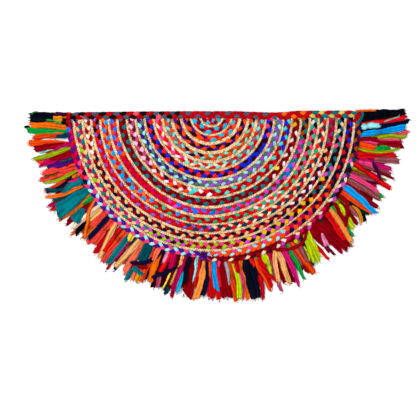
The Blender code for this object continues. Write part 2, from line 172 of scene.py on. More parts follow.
# Each cotton row's plait. Its rounds: the angle, in degrees from the left, where its first strand has
# come round so many times and has a lobe on the inner side. Its cloth: the three strands' from each
# angle on, and where two are given for one strand, its lobes on the inner and the outer side
ROWS = (
    {"rounds": ((29.5, -1), (104.5, 0), (179.5, 1)), "cloth": ((0, "cyan red wine"),)},
    {"rounds": ((-7.5, -1), (51, 0), (110.5, 1), (170, 2)), "cloth": ((0, "cyan red wine"),)},
    {"rounds": ((-21.5, -3), (23.5, -2), (73, -1), (116.5, 0), (159, 1), (204, 2)), "cloth": (
        (0, "black_brown purple red_orange"), (60, "purple red_orange red"), (90, "cyan red_orange red"))},
    {"rounds": ((5, -1), (35, 0), (92.8, 2), (153.5, 4), (182.5, 5)), "cloth": (
        (0, "red_orange black_brown purple"),)},
    {"rounds": ((8, -1), (28.7, 0), (48, 1), (68.5, 2), (111.2, 4), (155, 6), (178, 7)), "cloth": (
        (0, "aqua grey red_orange"), (50, "aqua navy red_orange"), (85, "aqua brown red_orange"),
        (155, "aqua navy red_orange"))},
    {"rounds": ((16, -4), (54.7, -2), (72.2, -1), (88.9, 0), (106.2, 1), (144.1, 3), (182.3, 5)), "cloth": (
        (0, "pink cream red"), (40, "pink white red"), (62, "aqua cream red"), (112, "aqua grey red"))},
    {"rounds": ((12.3, -3), (43.3, -1), (75.5, 1), (91, 2), (105.3, 3), (136.3, 5), (184, 8)), "cloth": (
        (0, "royal black_maroon scarlet"), (117, "royal black_maroon royal"),
        (146, "black_maroon royal black_maroon"), (153, "pink royal black_maroon"))},
    {"rounds": ((2.5, -6), (28.7, -4), (54.2, -2), (80.1, 0), (93, 1), (120.8, 3), (148, 5), (177, 7)),
     "cloth": ((0, "pale_aqua sage indigo"), (80, "pale_aqua violet sage"))},
    {"rounds": ((3, -4), (27, -2), (50.6, 0), (73.6, 2), (99.3, 4), (124.4, 6), (149.2, 8), (173, 10)),
     "cloth": (
        (0, "pale_pink dusty_rose wine"), (40, "white red_orange wine"), (51, "white navy red"),
        (60, "white red_orange dark_red"), (74.5, "red turquoise turquoise"), (80, "red dark_red white"),
        (92, "red dark_red turquoise"), (150, "royal dark_red turquoise"))},
    {"rounds": ((8.3, -6), (38.6, -3), (70.3, 0), (91.8, 2), (111.7, 4), (130.2, 6), (151.2, 8), (173, 10)),
     "cloth": (
        (0, "teal dark_red maroon"), (131, "white dark_red maroon"), (138.5, "yellow dark_red maroon"),
        (143, "white dark_red maroon"), (171, "gold dark_red maroon"))},
    {"rounds": ((-0.3, -14), (128.5, 0), (183.7, 6)), "cloth": (
        (0, "azure raspberry red_orange"), (25, "crimson red raspberry"), (61, "orchid red raspberry"),
        (70, "magenta red azure"), (80.5, "magenta azure red"), (91.5, "teal red orchid"),
        (120, "teal dark_red orchid"), (138, "azure teal orchid"), (150, "teal dark_red orchid"),
        (158, "teal magenta orchid"), (164, "teal rust black_maroon"))},
    {"rounds": ((4.5, -10), (30.3, -7), (47.2, -5), (63, -3), (87.9, 0), (113, 3), (128.3, 5), (145.2, 7),
                (172.5, 10)),
     "cloth": (
        (0, "sky orange red"), (30, "sky grey dark_red"), (44, "sky orange red"),
        (57, "jade red dark_red"), (68, "sky red dark_red"), (72, "jade red dark_red"),
        (113, "jade white scarlet"), (132, "jade scarlet dark_red"), (145, "jade pink maroon"),
        (171, "jade white navy"))},
    {"rounds": ((3.7, -14), (27, -11), (43.5, -9), (61.3, -7), (78.3, -5), (118.9, 0), (152, 4), (177.3, 7)),
     "cloth": (
        (0, "black_brown lavender red"), (15, "crimson lavender red"), (75, "petrol lavender red"),
        (91, "petrol red cream"), (150, "petrol scarlet cream"), (158, "jade scarlet cream"),
        (163, "petrol scarlet cream"))},
    {"rounds": ((6.5, -13), (28.8, -10), (50.8, -7), (64.4, -5), (78.1, -3), (100.4, 0), (129.9, 4),
                (152.7, 7), (181.9, 11)),
     "cloth": (
        (0, "white beige dark_red"), (19, "navy beige dark_red"), (90, "navy peach crimson"),
        (118, "navy peach dark_red"), (130, "navy white dark_red"), (156, "navy peach dark_red"),
        (165, "slate raspberry dark_red"))},
    {"rounds": ((5.4, -13), (26, -10), (46.8, -7), (60, -5), (72.4, -3), (92.1, 0), (107, 2), (121.5, 4),
                (136, 6), (163.7, 10), (183.3, 13)),
     "cloth": (
        (0, "teal raspberry beige"), (14.5, "teal/lime raspberry beige"), (17.5, "teal raspberry beige"),
        (28, "teal/lime raspberry beige"), (31.5, "teal raspberry beige"), (53, "teal orchid beige"),
        (62, "lime orchid black_maroon"), (80, "lime pink dark_red"), (103, "gold orchid black"),
        (131, "gold dark_red black"), (141, "teal dark_red black"), (148, "gold dark_red black"),
        (152, "teal orchid black"), (156, "teal black_maroon black"), (163, "teal pink black"),
        (172, "teal cream black"))},
    {"rounds": ((0.5, -16), (27, -12), (46.5, -9), (66.5, -6), (86.3, -3), (106.2, 0), (125.8, 3), (144, 6),
                (157.4, 8), (177, 11)),
     "cloth": (
        (0, "red azure purple"), (9, "purple raspberry red"), (14, "crimson raspberry purple"),
        (20, "pink red purple"), (24, "pink red navy"), (29, "pink pale_aqua indigo"),
        (90, "pink/red_orange pale_aqua red_orange"), (122.5, "raspberry navy red_orange"),
        (137, "dark_red navy red_orange"), (151, "red navy navy_black"),
        (168, "dark_red royal black"))},
    {"rounds": ((88, -2), (101, 0), (114, 2), (137.8, 6), (157.3, 9), (176, 12)), "cloth": (
        (88, "maroon/cream maroon dark_red"), (117, "cream/maroon orchid/raspberry dark_red"),
        (143, "cream/black_maroon black_maroon/petrol orchid"),
        (152, "black_maroon/cream petrol orchid/navy"), (163, "rust navy plum"))},
)

# Where the edge braid's first strand has a lobe on the far side, in metres along from its middle
EDGE_LOBES = (
    -0.3776, -0.3296, -0.2819, -0.2305, -0.1839, -0.1361, -0.0979, -0.0597, -0.0132,
    0.0345, 0.0787, 0.1240, 0.1694, 0.2136, 0.2577, 0.3055, 0.3530, 0.4005,
)

# The edge braid's three cloths from each run on, written as the rows' are
EDGE_CLOTH = (
    (-0.400, "deep_red black_brown deep_red"), (-0.338, "slate black_brown deep_red"),
    (-0.200, "rose black_brown deep_red"), (-0.160, "slate black_brown rose/deep_red"),
    (-0.125, "slate black_brown deep_red"), (-0.084, "slate deep_red deep_red"),
    (0.160, "orange deep_red deep_red"), (0.234, "straw deep_red teal"), (0.336, "deep_red deep_red teal"),
)

# Where a jute row strays from its even ring by hand, round an angle in degrees and over about so many:
# millimetres outwards, and the share by which it is wider
ROW_STRAYS = (
    {"row": 2, "at": 90, "over": 150, "out": 0.0, "wider": -0.2},
    {"row": 3, "at": 90, "over": 150, "out": 0.0, "wider": 0.35},
    {"row": 3, "at": 112, "over": 26, "out": -1.8, "wider": 0.0},
    {"row": 4, "at": 90, "over": 150, "out": 0.0, "wider": 0.4},
    {"row": 5, "at": 90, "over": 150, "out": 0.0, "wider": 0.3},
    {"row": 6, "at": 40, "over": 12, "out": -1.6, "wider": -0.1},
    {"row": 6, "at": 82, "over": 12, "out": -1.8, "wider": -0.2},
    {"row": 8, "at": 30, "over": 10, "out": -2.0, "wider": 0.0},
    {"row": 8, "at": 160, "over": 10, "out": 0.0, "wider": -0.2},
    {"row": 9, "at": 42, "over": 12, "out": -1.8, "wider": 0.0},
    {"row": 9, "at": 78, "over": 22, "out": 1.8, "wider": -0.1},
    {"row": 9, "at": 148, "over": 14, "out": 1.8, "wider": -0.3},
    {"row": 10, "at": 10, "over": 10, "out": 2.0, "wider": 0.0},
    {"row": 10, "at": 45, "over": 10, "out": -1.5, "wider": 0.0},
    {"row": 10, "at": 82, "over": 16, "out": 3.4, "wider": 0.15},
    {"row": 10, "at": 126, "over": 12, "out": 2.0, "wider": 0.0},
    {"row": 11, "at": 15, "over": 15, "out": 1.5, "wider": 0.0},
    {"row": 11, "at": 84, "over": 20, "out": 3.8, "wider": 0.25},
    {"row": 11, "at": 134, "over": 14, "out": 2.0, "wider": 0.0},
    {"row": 12, "at": 30, "over": 14, "out": 2.2, "wider": -0.2},
    {"row": 12, "at": 82, "over": 18, "out": 1.8, "wider": -0.3},
    {"row": 13, "at": 82, "over": 12, "out": 1.5, "wider": 0.0},
    {"row": 14, "at": 28, "over": 30, "out": -1.6, "wider": 0.0},
    {"row": 14, "at": 130, "over": 18, "out": -2.8, "wider": -0.4},
    {"row": 15, "at": 38, "over": 30, "out": -2.0, "wider": 0.0},
    {"row": 15, "at": 128, "over": 14, "out": -3.8, "wider": -0.35},
)

# How far the edge braid strays from its line: metres along from its middle, metres to the far side
EDGE_STRAYS = (
    (-0.30, 0.0), (-0.15, 0.0012), (0.05, 0.0010), (0.10, -0.0012), (0.145, -0.0028), (0.175, -0.0012),
    (0.20, 0.0012), (0.345, 0.0014), (0.36, 0.0),
)

# Strands at the edge braid's corners, most of them turned down over it, and a loose thread near the
# left one: width, and millimetres right of and behind the middle of the rings for three points along
EDGE_WRAPS = (
    {"cloth": "black_brown", "width": 9, "way": ((-330, 0), (-328, -8), (-322, -16))},
    {"cloth": "deep_red", "width": 11, "way": ((-340, 5), (-340, -14), (-338, -37))},
    {"cloth": "deep_red", "width": 11, "way": ((352, 7), (349, -5), (340, -20))},
    {"cloth": "teal", "width": 6, "way": ((360, 6), (357, -8), (346, -25))},
    {"cloth": "orange", "width": 5, "way": ((344, 8), (368, 9), (394, 9))},
    {"cloth": "rose", "width": 3, "way": ((-316, -4), (-305, -7), (-292, -15))},
)

# The fringe's strips as they lie. Degrees from the left for root and tip; millimetres from the
# middle of the rings for reach and start, which is the rim where it is 0; width, width at the tip,
# sideways bend in the middle; and the layer, counted up from the floor
Strip = namedtuple("Strip", "cloth root tip reach width end start bend layer", defaults=(0, 0, 1))
STRIPS = (
    Strip("black", 0.0, 0.3, 434, 14, 13),
    Strip("navy_black", 2.3, 1.6, 434, 15, 13),
    Strip("green", -0.7, -0.6, 427, 3, 2, 412),
    Strip("mustard", 1.9, 1.9, 377, 17, 20, 355, layer=2),
    Strip("plum", -0.2, -0.2, 374, 8, 7, 350, layer=2),
    Strip("green", 3.6, 2.0, 394, 6, 4, 358, layer=2),
    Strip("orange", 5.2, 3.3, 434, 17, 15),
    Strip("green", 7.2, 4.9, 441, 15, 14),
    Strip("red_orange", 8.1, 7.1, 429, 10, 11),
    Strip("petrol", 8.0, 8.2, 374, 13, 8, layer=2),
    Strip("red_orange", 11.4, 8.9, 441, 9, 17, layer=2),
    Strip("dark_red", 12.2, 11.0, 431, 14, 16, layer=2),
    Strip("magenta", 11.6, 12.9, 384, 10, 5, layer=3),
    Strip("pale_aqua", 11.8, 12.8, 419, 7, 4, 370, layer=2),
    Strip("moss", 13.4, 14.1, 438, 13, 10, bend=1, layer=2),
    Strip("dark_red", 15.2, 15.4, 401, 15, 11, layer=2),
    Strip("red_orange", 14.8, 15.2, 432, 13, 12),
    Strip("raspberry", 16.0, 16.6, 428, 12, 10),
    Strip("magenta", 14.5, 16.3, 422, 6, 3, 387, layer=2),
    Strip("dark_teal", 17.5, 17.4, 375, 7, 4, layer=2),
    Strip("purple", 18.8, 18.2, 411, 18, 13),
    Strip("dark_red", 19.6, 19.6, 368, 10, 5, layer=2),
    Strip("coral", 20.2, 20.4, 366, 6, 4, layer=2),
    Strip("coral", 21.5, 19.0, 425, 18, 14),
    Strip("coral", 22.5, 20.8, 438, 18, 13),
    Strip("olive", 21.3, 20.6, 422, 4, 3, 394, layer=2),
    Strip("moss", 22.6, 22.2, 432, 9, 6, bend=6, layer=2),
    Strip("red_orange", 24.5, 24.6, 437, 10, 9),
    Strip("navy", 23.2, 25.3, 435, 9, 8, bend=6, layer=2),
    Strip("orange", 24.7, 24.7, 363, 10, 7, layer=2),
    Strip("magenta", 25.5, 25.3, 375, 8, 4, 352, layer=3),
    Strip("teal", 26.7, 27.5, 401, 24, 8, layer=2),
    Strip("navy", 27.2, 25.2, 431, 8, 7, 398),
    Strip("orange", 29.0, 26.4, 440, 9, 9, bend=8, layer=2),
    Strip("red", 29.5, 29.5, 375, 8, 4),
    Strip("teal", 31.4, 32.6, 438, 26, 40, layer=2),
    Strip("dark_teal", 27.2, 24.3, 434, 8, 8, 392, layer=3),
    Strip("dark_teal", 29.0, 28.5, 430, 12, 10),
    Strip("raspberry", 29.4, 29.5, 446, 12, 10, layer=0),
    Strip("red", 31.0, 31.0, 444, 12, 11, layer=0),
    Strip("orange", 33.5, 34.6, 443, 13, 11, bend=4),
    Strip("green", 35.0, 34.8, 376, 14, 5, layer=2),
    Strip("dark_red", 36.2, 37.0, 389, 20, 12),
    Strip("teal", 36.2, 38.1, 415, 17, 26, 378, layer=2),
    Strip("dark_red", 36.6, 37.0, 434, 15, 13, layer=0),
    Strip("orange", 36.0, 44.4, 422, 10, 7, bend=-5, layer=3),
    Strip("purple", 37.6, 38.4, 391, 13, 8),
    Strip("pale_peach", 39.3, 39.3, 428, 17, 13),
    Strip("black", 40.0, 41.2, 431, 15, 13),
    Strip("peach", 40.6, 41.2, 384, 13, 8, layer=2),
    Strip("coral", 42.8, 42.6, 394, 20, 15),
    Strip("orange", 40.7, 40.7, 443, 8, 6, layer=0),
    Strip("red_orange", 42.7, 42.7, 420, 14, 10, layer=0),
    Strip("orange", 44.0, 44.0, 426, 14, 10, layer=0),
    Strip("navy", 44.6, 45.2, 417, 14, 11, layer=2),
    Strip("coral", 46.0, 46.0, 426, 16, 13),
    Strip("coral", 47.3, 48.0, 418, 16, 12),
    Strip("peach", 48.6, 52.1, 434, 14, 12, bend=-3, layer=2),
    Strip("red", 51.2, 51.9, 416, 12, 8, layer=2),
    Strip("red", 49.0, 50.0, 432, 18, 14, layer=0),
    Strip("dark_teal", 52.4, 53.5, 426, 18, 14),
    Strip("red_orange", 53.2, 53.2, 420, 12, 9),
    Strip("coral", 55.0, 53.5, 440, 13, 11),
    Strip("yellow", 56.4, 56.6, 360, 12, 5, layer=3),
    Strip("teal", 56.1, 55.1, 434, 15, 12, layer=2),
    Strip("yellow", 57.4, 57.4, 360, 7, 4, layer=2),
    Strip("raspberry", 57.8, 55.3, 433, 12, 10, layer=2),
    Strip("red", 56.8, 56.0, 447, 10, 8, layer=0),
    Strip("petrol", 58.8, 58.0, 437, 12, 10),
    Strip("peach", 60.4, 57.7, 430, 16, 12, layer=2),
    Strip("coral_peach", 61.8, 61.0, 432, 20, 14),
    Strip("dark_teal", 63.6, 63.6, 389, 18, 10, layer=2),
    Strip("dark_teal", 65.3, 65.3, 387, 18, 10, layer=2),
    Strip("teal", 62.6, 62.8, 445, 16, 12, layer=0),
    Strip("teal", 62.6, 66.9, 416, 14, 10, 412, layer=2),
    Strip("navy", 70.4, 61.2, 402, 11, 9, bend=16, layer=3),
    Strip("dark_red", 67.5, 62.2, 411, 13, 8, 392, layer=2),
    Strip("red_orange", 66.5, 66.5, 427, 18, 14),
    Strip("mustard", 65.6, 65.6, 437, 16, 12, 410, layer=2),
    Strip("coral_peach", 62.5, 64.4, 438, 12, 10),
    Strip("red_orange", 67.3, 67.1, 432, 14, 11),
    Strip("navy", 68.4, 68.4, 356, 10, 6, layer=2),
    Strip("coral_peach", 69.0, 68.3, 376, 14, 9, layer=3),
    Strip("orange", 69.0, 69.8, 425, 18, 14),
    Strip("navy", 68.3, 68.3, 424, 11, 8, layer=0),
    Strip("black_maroon", 70.7, 71.2, 436, 16, 13),
    Strip("candy", 72.3, 71.8, 372, 12, 7, layer=3),
    Strip("red", 73.8, 72.0, 396, 17, 11, layer=2),
    Strip("dusty_rose", 72.6, 72.8, 432, 14, 11, 402),
    Strip("black_maroon", 73.8, 73.8, 430, 12, 9),
    Strip("raspberry", 75.2, 75.0, 384, 16, 10, layer=2),
    Strip("maroon", 76.7, 76.5, 425, 16, 13),
    Strip("navy", 77.8, 70.1, 415, 8, 10, 371, layer=3),
    Strip("yellow", 75.5, 74.4, 430, 5, 4, 388, layer=2),
    Strip("maroon", 75.6, 75.7, 432, 22, 16, layer=0),
    Strip("peach", 78.5, 78.3, 368, 10, 6, layer=2),
    Strip("yellow", 78.4, 76.4, 418, 5, 4, 358, layer=2),
    Strip("petrol", 75.9, 75.7, 443, 13, 10, layer=0),
    Strip("crimson", 76.8, 77.6, 446, 11, 9, layer=0),
    Strip("berry", 79.7, 77.8, 433, 14, 12, layer=2),
    Strip("cyan", 80.2, 79.0, 431, 10, 9, 378, layer=3),
    Strip("navy_black", 81.5, 80.9, 408, 14, 10, layer=3),
    Strip("dark_red", 82.8, 82.3, 438, 17, 28),
    Strip("pale_aqua", 84.2, 83.7, 401, 9, 3, layer=2),
    Strip("red", 85.5, 84.6, 411, 10, 8),
    Strip("peach_orange", 87.3, 85.0, 442, 14, 20, bend=3, layer=2),
    Strip("navy", 88.2, 87.0, 433, 13, 12, bend=7, layer=3),
    Strip("red_orange", 89.4, 89.4, 387, 8, 5, layer=3),
    Strip("red", 88.9, 89.5, 437, 16, 13),
    Strip("sky", 90.7, 91.7, 419, 14, 14, layer=2),
    Strip("red", 90.4, 90.5, 439, 15, 14, layer=0),
    Strip("red", 92.0, 92.2, 443, 15, 12, layer=0),
    Strip("red", 92.4, 93.0, 413, 10, 8, layer=2),
    Strip("pink", 92.8, 92.8, 364, 9, 5, layer=2),
    Strip("dark_red", 93.4, 94.0, 439, 20, 14),
    Strip("dark_red", 94.6, 95.8, 439, 20, 14),
    Strip("grey_blue", 95.5, 96.0, 409, 9, 5, layer=2),
    Strip("red_orange", 96.8, 97.5, 449, 13, 11),
    Strip("citron", 98.3, 98.6, 445, 10, 15, 360, bend=5, layer=2),
    Strip("crimson", 99.3, 99.3, 382, 17, 9, layer=2),
    Strip("pink", 99.6, 99.8, 449, 11, 5, 371, bend=4, layer=2),
    Strip("orange", 101.3, 101.2, 451, 15, 12),
    Strip("navy_black", 102.7, 102.9, 453, 20, 14),
    Strip("navy_black", 104.6, 104.3, 452, 22, 15),
    Strip("scarlet", 105.2, 105.6, 378, 15, 3, layer=2),
    Strip("crimson", 106.5, 105.8, 456, 12, 9, 400, layer=2),
    Strip("red_orange", 106.6, 108.4, 443, 9, 8, layer=2),
    Strip("red", 108.0, 109.0, 439, 22, 15),
    Strip("red", 107.8, 111.0, 425, 11, 7, 382, layer=2),
    Strip("green", 107.5, 107.5, 360, 6, 4, layer=2),
    Strip("citron", 110.4, 110.6, 407, 18, 5, layer=2),
    Strip("raspberry", 112.6, 112.6, 402, 13, 8),
    Strip("peach", 115.0, 111.8, 430, 13, 9, layer=3),
    Strip("peach", 115.8, 114.7, 445, 15, 12, layer=2),
    Strip("dusty_rose", 111.7, 111.7, 456, 12, 9, layer=0),
    Strip("dark_red", 114.0, 113.6, 439, 15, 12, layer=0),
    Strip("maroon", 116.6, 115.9, 446, 18, 13),
    Strip("magenta", 118.6, 117.1, 461, 17, 8, layer=2),
    Strip("green", 120.3, 119.5, 451, 9, 8, layer=2),
    Strip("mauve", 120.6, 120.8, 420, 10, 7),
    Strip("red_orange", 121.9, 122.8, 452, 18, 14),
    Strip("dark_red", 121.3, 121.3, 444, 14, 11, layer=0),
    Strip("citron", 124.0, 124.0, 368, 10, 7, layer=2),
    Strip("mauve", 124.5, 123.2, 421, 15, 11),
    Strip("plum", 126.4, 126.4, 380, 12, 8),
    Strip("citron", 129.4, 126.2, 436, 14, 11, layer=2),
    Strip("citron", 127.8, 124.7, 430, 11, 9, layer=2),
    Strip("citron", 125.0, 123.8, 420, 6, 4, 384, layer=2),
    Strip("citron", 128.8, 127.6, 428, 6, 4, 366),
    Strip("dark_green", 127.7, 124.0, 434, 10, 8),
    Strip("red", 127.8, 129.0, 445, 12, 8),
    Strip("dark_red", 130.8, 131.2, 408, 18, 12),
    Strip("dark_red", 132.6, 134.0, 446, 19, 12),
    Strip("dark_red", 134.2, 135.0, 458, 20, 12, layer=2),
    Strip("dark_red", 135.8, 136.5, 457, 18, 12),
    Strip("candy", 133.0, 131.2, 416, 8, 14, 386, layer=2),
    Strip("wine", 131.2, 131.2, 446, 11, 7, layer=0),
    Strip("raspberry", 133.3, 133.4, 456, 13, 9, layer=0),
    Strip("dark_green", 135.6, 135.6, 368, 9, 5, layer=2),
    Strip("maroon", 137.2, 136.0, 445, 22, 14),
    Strip("red", 139.7, 136.8, 439, 20, 13, layer=2),
    Strip("peach_orange", 141.6, 137.6, 452, 14, 12, layer=3),
    Strip("green", 142.4, 142.0, 380, 8, 6, layer=2),
    Strip("green", 141.0, 139.5, 446, 13, 8),
    Strip("dark_red", 143.5, 142.8, 420, 14, 10),
    Strip("citron", 144.7, 142.6, 401, 14, 9, 370, layer=2),
    Strip("moss", 145.0, 145.0, 372, 9, 6, layer=2),
    Strip("dark_red", 144.0, 140.5, 416, 11, 8, bend=4, layer=2),
    Strip("citron", 143.0, 141.3, 434, 16, 13, 407, layer=2),
    Strip("dark_red", 145.6, 143.2, 437, 16, 10),
    Strip("mauve", 146.3, 145.0, 425, 11, 8, 394, layer=2),
    Strip("mustard", 146.8, 144.2, 441, 12, 9, 399, bend=4, layer=2),
    Strip("navy", 147.9, 145.2, 448, 12, 9, 414),
    Strip("dark_green", 147.6, 147.8, 444, 16, 12, 376),
    Strip("red_orange", 149.2, 148.4, 449, 13, 8, layer=2),
    Strip("sky", 151.7, 149.0, 457, 18, 10, layer=2),
    Strip("dark_red", 153.0, 150.8, 455, 14, 11),
    Strip("mauve", 154.5, 153.2, 451, 15, 12),
    Strip("green", 154.6, 154.4, 455, 14, 10, layer=0),
    Strip("pink", 156.5, 154.9, 442, 14, 8, layer=2),
    Strip("plum", 155.8, 157.8, 438, 8, 5, 374, layer=2),
    Strip("mauve", 157.0, 157.7, 425, 19, 13),
    Strip("moss", 158.8, 158.8, 372, 8, 4, layer=2),
    Strip("dark_red", 160.0, 159.9, 385, 14, 8),
    Strip("red", 161.1, 157.6, 462, 15, 13, layer=2),
    Strip("mauve", 161.8, 161.0, 411, 12, 8, 372),
    Strip("pink", 162.2, 162.4, 408, 11, 7, 368, layer=2),
    Strip("magenta", 162.8, 163.2, 449, 15, 11),
    Strip("plum", 163.6, 158.8, 432, 10, 7, 400, layer=3),
    Strip("plum", 163.1, 163.1, 368, 7, 4, layer=2),
    Strip("mauve", 161.7, 161.5, 453, 17, 12, layer=0),
    Strip("dark_red", 160.8, 160.6, 461, 9, 6, layer=0),
    Strip("moss", 159.5, 159.4, 446, 9, 6, layer=0),
    Strip("red", 164.2, 167.6, 449, 24, 12),
    Strip("mauve", 164.4, 166.0, 462, 17, 13, 402, layer=2),
    Strip("navy", 166.8, 167.0, 451, 12, 8, layer=0),
    Strip("moss", 167.0, 169.6, 453, 8, 6, bend=-9, layer=3),
    Strip("red_orange", 168.4, 168.4, 399, 18, 11, layer=3),
    Strip("green", 168.3, 169.2, 434, 20, 4, 394, layer=2),
    Strip("pink", 169.5, 169.9, 402, 10, 6, layer=2),
    Strip("dark_red", 170.5, 171.2, 461, 16, 26),
    Strip("pink", 171.8, 172.2, 453, 10, 6, 400, layer=2),
    Strip("moss", 172.0, 173.7, 469, 12, 9, 400, layer=2),
    Strip("sky", 171.9, 176.2, 463, 15, 16, layer=3),
    Strip("red", 174.0, 175.2, 468, 10, 7, layer=0),
    Strip("navy", 173.6, 178.2, 472, 14, 11),
    Strip("pale_aqua", 175.1, 176.2, 403, 18, 11, layer=3),
    Strip("rose", 173.7, 174.8, 471, 8, 9, 424, layer=2),
    Strip("red", 176.5, 179.0, 464, 8, 13, layer=2),
    Strip("aqua", 177.5, 179.3, 447, 4, 2, 410, layer=3),
    Strip("black", 178.2, 179.8, 461, 21, 15),
    Strip("black", 179.9, 180.9, 461, 21, 14),
    Strip("navy_black", 180.3, 180.7, 456, 15, 14, layer=0),
    Strip("black", 4.1, 4.0, 447, 6, 7, 434, layer=0),
)

# Longer strips that lie across the others' roots: (degrees, millimetres from the middle) along each
CROSSING = (
    {"cloth": "dark_red", "width": 8, "way": (
        (115, 356), (120, 371), (124, 375), (126.5, 371), (129.3, 358))},
    {"cloth": "dark_red", "width": 9, "way": ((147.2, 352), (146.9, 384), (143.6, 401), (140.0, 418))},
)

# Where no lower strip is laid, so that the floor shows between the others, in degrees from and to
BARE_PLACES = ((7.8, 11.2), (22.4, 24.4), (128.2, 130.4), (154.8, 156.5))

# Starts of the random draws: the fringe's strips, the braids and the knot, the frayed threads
UNDER_SEED = 11
CLOTH_SEED = 5
THREAD_SEED = 7


def smooth_step(value, low, high):
    """Ease from 0 at low to 1 at high, level at both ends."""
    share = np.clip((value - low) / (high - low), 0.0, 1.0)
    return share * share * (3.0 - 2.0 * share)


def place(angle, radius):
    """Points at an angle in degrees, from the left round the front, and a radius from the rings' middle."""
    turned = np.radians(angle)
    return np.stack((CENTRE[0] - radius * np.cos(turned), CENTRE[1] - radius * np.sin(turned)), axis=-1)


def jute_band(row, turn):
    """Inner and outer radius of a whole jute row: one pitch a row, half the spiral's drift farther out
    at its left end and as much nearer at its right, with the row's strays, each a bell round its
    angle."""
    drift = SPIRAL_DRIFT * min(1.0, (row - 1) / DRIFT_ROWS)
    middle = FIRST_RADIUS + ROW_PITCH * (row - 1) + drift * (0.5 - turn)
    half = JUTE_WIDTH / 2
    for stray in ROW_STRAYS:
        if stray["row"] == row:
            bell = np.exp(-((180.0 * turn - stray["at"]) / stray["over"]) ** 2)
            middle = middle + stray["out"] * MM * bell
            half = half * (1 + stray["wider"] * bell)
    return middle - half, middle + half


def cotton_band(row, turn):
    """Inner and outer radius of a whole cotton row, between its two jute rows."""
    outer = jute_band(row + 1, turn)[0] - ROW_GAP
    if row == 0:
        return outer - COTTON_WIDTH, outer
    return jute_band(row, turn)[1] + ROW_GAP, outer


def last_cotton_band(turn):
    """Inner and outer radius of the last cotton row: thin beside the knot, then full, and farther on
    moved out to make room for the last jute row."""
    swell = smooth_step(turn, *SWELL_TURNS)
    lift = smooth_step(turn, *LIFT_TURNS)
    width = LAST_START_WIDTH + (LAST_FULL_WIDTH - LAST_START_WIDTH) * swell
    width += (LAST_END_WIDTH - LAST_FULL_WIDTH) * lift
    inner = jute_band(LAST_ROW, turn)[0] + (JUTE_WIDTH + ROW_GAP) * lift
    return inner, inner + width


def last_jute_band(turn):
    """Inner and outer radius of the last jute row, which fills the room inside the last cotton row."""
    return jute_band(LAST_ROW, turn)[0], last_cotton_band(turn)[0] - ROW_GAP


def rim_radius(turn):
    """Outer radius of the braided body, stepping out to the last cotton row beside the knot."""
    turn = np.clip(turn, 0.0, 1.0)
    left_rim = cotton_band(WHOLE_ROWS, turn)[1]
    right_rim = last_cotton_band(turn)[1]
    return left_rim + (right_rim - left_rim) * smooth_step(turn, *RIM_STEP_TURNS)


def linear(dye):
    """A dye's colour as linear light."""
    share = np.array(DYES[dye]) / 255.0
    return np.where(share <= 0.04045, share / 12.92, ((share + 0.055) / 1.055) ** 2.4)


def wander(along, every, random):
    """Smooth values between -1 and 1: one is drawn for each stretch, and they ease into each other."""
    at = (along - along[0]) / every
    first = at.astype(int)
    drawn = random.uniform(-1.0, 1.0, first[-1] + 2)
    share = smooth_step(at - first, 0.0, 1.0)
    return drawn[first] * (1.0 - share) + drawn[first + 1] * share


def carried_on(wanted, known, values):
    """Values on straight lines through known places, the first and the last carried on past the ends."""
    between = np.interp(wanted, known, values)
    before = values[0] + (wanted - known[0]) * (values[1] - values[0]) / (known[1] - known[0])
    after = values[-1] + (wanted - known[-1]) * (values[-1] - values[-2]) / (known[-1] - known[-2])
    return np.where(wanted < known[0], before, np.where(wanted > known[-1], after, between))


def length_along(path):
    """The distance run at each point of a path."""
    steps = np.linalg.norm(np.diff(path, axis=0), axis=1)
    return np.concatenate(((0.0,), np.cumsum(steps)))


def end_direction(path):
    """The unit vector of a path's last step."""
    step = path[-1] - path[-2]
    return step / np.linalg.norm(step)


def angles_round(columns):
    """Even angles round a section, in radians."""
    return np.arange(columns) * 2 * np.pi / columns


def squarer(wave, power):
    """A wave raised to a power, its sign kept. A power under 1 makes a round section squarer."""
    return np.sign(wave) * np.abs(wave) ** power


def directions(path):
    """A path's right-hand and upward unit vectors. The first is the cross product of its forward
    direction with the vertical, and the second that of the first with the forward direction."""
    forward = np.gradient(path, axis=0)
    forward /= np.linalg.norm(forward, axis=1)[:, None]
    right = np.cross(forward, UP)
    right /= np.linalg.norm(right, axis=1)[:, None]
    return right, np.cross(right, forward)


# A closed patch: its points and their dyes with painted shade and light in them, its faces of four and
# of three corners, and the cloth map at each face's corners
Patch = namedtuple("Patch", "points dyes quads fans quad_map fan_map")


